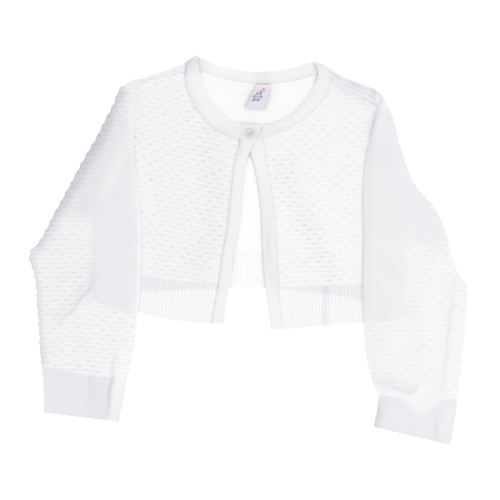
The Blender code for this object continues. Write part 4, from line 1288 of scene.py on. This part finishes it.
def build_thread(base):
    """Three strands of thread from one of the button's holes to the other."""
    finish = Finish("button_thread", (0.80, 0.80, 0.84), 0.8, slot="plain_knit")
    finish.bump(finish.noise(2500.0), 0.0001, 0.5)
    across = np.array(THREAD_ACROSS)
    points, faces = [], []
    for offset in (-0.28, 0.0, 0.28):
        first = len(points)
        for t in np.linspace(0.0, 1.0, THREAD_RINGS):
            x, y = np.array(BUTTON_AT) - np.array(HOLE_AT) * (1 - 2 * t) + across * offset
            z = base + 1.1 + 0.65 * math.sin(math.pi * t)
            for s in range(THREAD_SIDES):
                angle = 2 * math.pi * s / THREAD_SIDES
                out = across * THREAD * math.cos(angle)
                points.append((x + out[0], y + out[1], z + THREAD * math.sin(angle)))
        for k in range(THREAD_RINGS - 1):
            for s in range(THREAD_SIDES):
                a = first + k * THREAD_SIDES + s
                b = first + k * THREAD_SIDES + (s + 1) % THREAD_SIDES
                faces.append((a, b, b + THREAD_SIDES, a + THREAD_SIDES))
        last = first + (THREAD_RINGS - 1) * THREAD_SIDES
        faces.append(tuple(first + s for s in range(THREAD_SIDES - 1, -1, -1)))
        faces.append(tuple(last + s for s in range(THREAD_SIDES)))
    make_piece("button_thread_strands", np.array(points), faces, finish)


def patch_of(u, v, u_mid, v_mid, u_half, v_half):
    """1 inside an oval of the label and 0 outside it."""
    du = (u - u_mid) / u_half
    dv = (v - v_mid) / v_half
    return (1.0 - du * du - dv * dv).maths("MULTIPLY", 4.0, clamp=True)


def build_label():
    """The folded woven label at the back neck."""
    satin = Finish("woven_satin", (0.66, 0.68, 0.76), 0.5, sheen=0.2, slot="woven_label")
    u, v = satin.knit_place()
    down = LABEL_RUN - v  # from the neck seam down the upper leaf
    weave = satin.wave(u, 0.35) * satin.wave(v, 0.5)
    cloud = satin.noise(120.0, 2.0)
    ground = satin.mix(cloud, (0.66, 0.68, 0.73), (0.74, 0.74, 0.77))
    rosy = (1.0 - down / 7.0).maths("MAXIMUM", 0.0)
    ground = satin.mix(rosy, ground, (0.88, 0.74, 0.77))
    red = patch_of(u, down, 3.6, 18.4, 1.1, 1.1)
    for u_mid, v_mid in ((7.2, 6.8), (9.2, 4.6), (10.8, 6.6), (8.8, 8.0)):
        red = red + patch_of(u, down, u_mid, v_mid, 1.2, 1.0)
    blue = patch_of(u, down, 6.6, 13.8, 1.3, 1.3)
    for turn in range(6):
        angle = math.pi * turn / 3.0
        petal = (6.6 + 3.4 * math.cos(angle), 13.8 + 4.0 * math.sin(angle))
        blue = blue + patch_of(u, down, petal[0], petal[1], 1.7, 1.9)
    ground = satin.mix(red.maths("MINIMUM", 1.0) * 0.8, ground, (0.62, 0.10, 0.13))
    ground = satin.mix(blue.maths("MINIMUM", 1.0) * (0.45 + 0.4 * cloud), ground, (0.08, 0.14, 0.44))
    satin.set("Base Color", ground)
    satin.bump(weave, 0.0001, 0.4)
    top = np.array([(8.4, 172.9), (23.6, 172.7)])
    foot = np.array([(-4.2, 148.1), (16.3, 146.5)])
    low = CLOTH + LAYER
    shares = np.linspace(0.0, 1.0, 13)
    lines = []
    for share in shares:
        a = top[0] + (top[1] - top[0]) * share
        b = foot[0] + (foot[1] - foot[0]) * share
        down = (b - a) / np.linalg.norm(b - a)
        line = [np.append(a + (b - a) * t, low + 0.1) for t in np.linspace(0.0, 0.96, 14)]
        for angle in np.radians(np.linspace(0, 180, 9)):
            spot = b + down * LABEL_FOLD * (math.sin(angle) - 1.0)
            line.append(np.append(spot, low + LABEL_FOLD * (1 - math.cos(angle))))
        for t in np.linspace(0.96, 0.0, 14):
            lift = 1.1 * math.sin(math.pi * t) ** 2
            line.append(np.append(a + (b - a) * t, low + 2 * LABEL_FOLD + lift))
        lines.append(line)
    grid = np.array(lines)
    run = lengths(grid[6])
    u, v = np.meshgrid(shares * LABEL_WIDE, run, indexing="ij")
    piece = make_strip("neck_label", grid, satin, ["label"], u, v, wall=RIBBON)


# Set


def build_set():
    """The pale surface, a soft light and the camera above."""
    scene = bpy.context.scene
    floor_finish = Finish("floor", (0.93, 0.93, 0.935), 0.9)
    floor_finish.set("Emission Color", (1.0, 1.0, 1.0, 1.0))
    floor_finish.set("Emission Strength", 0.35)
    mesh = bpy.data.meshes.new("floor")
    corners = [(x, y, -0.0003) for x, y in ((-3, -3), (3, -3), (3, 3), (-3, 3))]
    mesh.from_pydata(corners, [], [(0, 1, 2, 3)])
    floor = bpy.data.objects.new("floor", mesh)
    floor.data.materials.append(floor_finish.material)
    scene.collection.objects.link(floor)
    world = bpy.data.worlds.new("studio")
    world.use_nodes = True
    world.node_tree.nodes["Background"].inputs["Color"].default_value = (1.0, 1.0, 1.0, 1.0)
    world.node_tree.nodes["Background"].inputs["Strength"].default_value = 0.97
    scene.world = world
    light = bpy.data.lights.new("key", "AREA")
    light.energy = 15.0
    light.size = 2.4
    lamp = bpy.data.objects.new("key", light)
    lamp.location = (1.7, -0.9, 1.9)
    lamp.rotation_euler = (-lamp.location).to_track_quat("-Z", "Y").to_euler()
    scene.collection.objects.link(lamp)
    height = 2.0
    seen_wide = 0.525
    lens = bpy.data.cameras.new("camera")
    lens.sensor_width = 36.0
    lens.sensor_fit = "HORIZONTAL"
    lens.lens = lens.sensor_width * height / seen_wide
    lens.clip_end = 20.0
    camera = bpy.data.objects.new("camera", lens)
    camera.location = (1.05 * MM + SHIFT[0] * MM, -0.5 * MM + SHIFT[1] * MM, height)
    scene.collection.objects.link(camera)
    scene.camera = camera
    scene.view_settings.view_transform = "Standard"
    scene.view_settings.look = "None"
    scene.view_settings.exposure = 0.0


def under_back_welt(x, y):
    """Height of what the back's welt lies on, set a little low."""
    return np.full(np.shape(x), -0.15)


def no_tone(x, y):
    """The back's welt carries no painted shade."""
    return np.zeros(np.shape(x))


def over_back_welt(x, y):
    """Painted shade on the front welts: darker where the back lies under them, and along a crease."""
    return 0.40 * smooth((y - read(BACK_WELT, x, 2) + 2.0) / 4.0) + creases(WELT_SHADES, x, y)


COTTON = (0.868, 0.855, 0.870)
# The second colour of each honeycomb is the painted shade in its dimples
honey = honeycomb_finish("honeycomb_cotton", COTTON, (0.70, 0.69, 0.73))
# A painted-light copy of the same cotton, lighter, for the back where it shows between the fronts
inside = honeycomb_finish("honeycomb_cotton_back_lit", (0.94, 0.93, 0.935), (0.88, 0.87, 0.89))
bands = fine_knit_finish("fine_knit_bands", COTTON)
cuffs = fine_knit_finish("fine_knit_cuffs", COTTON, CUFF_WALE)
ribs = rib_finish("ribbed_welts", (0.905, 0.897, 0.907), 0.37)
# A painted-light copy of the rib, lighter and with barely shaded furrows, for the back's welt
lit_inside_ribs = rib_finish("ribbed_welt_inside_lit", (0.915, 0.905, 0.91), 0.03)

build_set()
build_back(inside, honey)
for side in SIDES:
    build_front(side, honey)
build_welt("back_hem_rib", BACK_WELT, (HEM_ENDS[0],) * 2, (HEM_ENDS[1],) * 2, lit_inside_ribs,
           under_back_welt, no_tone, relief=0.08)
for side, table, start, end in (
    ("right", RIGHT_WELT, (-166.4, -168.0), (-32.6, -40.6)),
    ("left", LEFT_WELT, (31.3, 36.1), (164.3, 163.3)),
):
    build_welt(f"front_{side}_hem_rib", table, start, end, ribs, front_height, over_back_welt)
for side in SIDES:
    build_band(side, bands)
build_neckband(bands)
for side in SIDES:
    build_sleeve(side, honey)
for side in SIDES:
    build_cuff(side, cuffs)
build_button()
build_label()
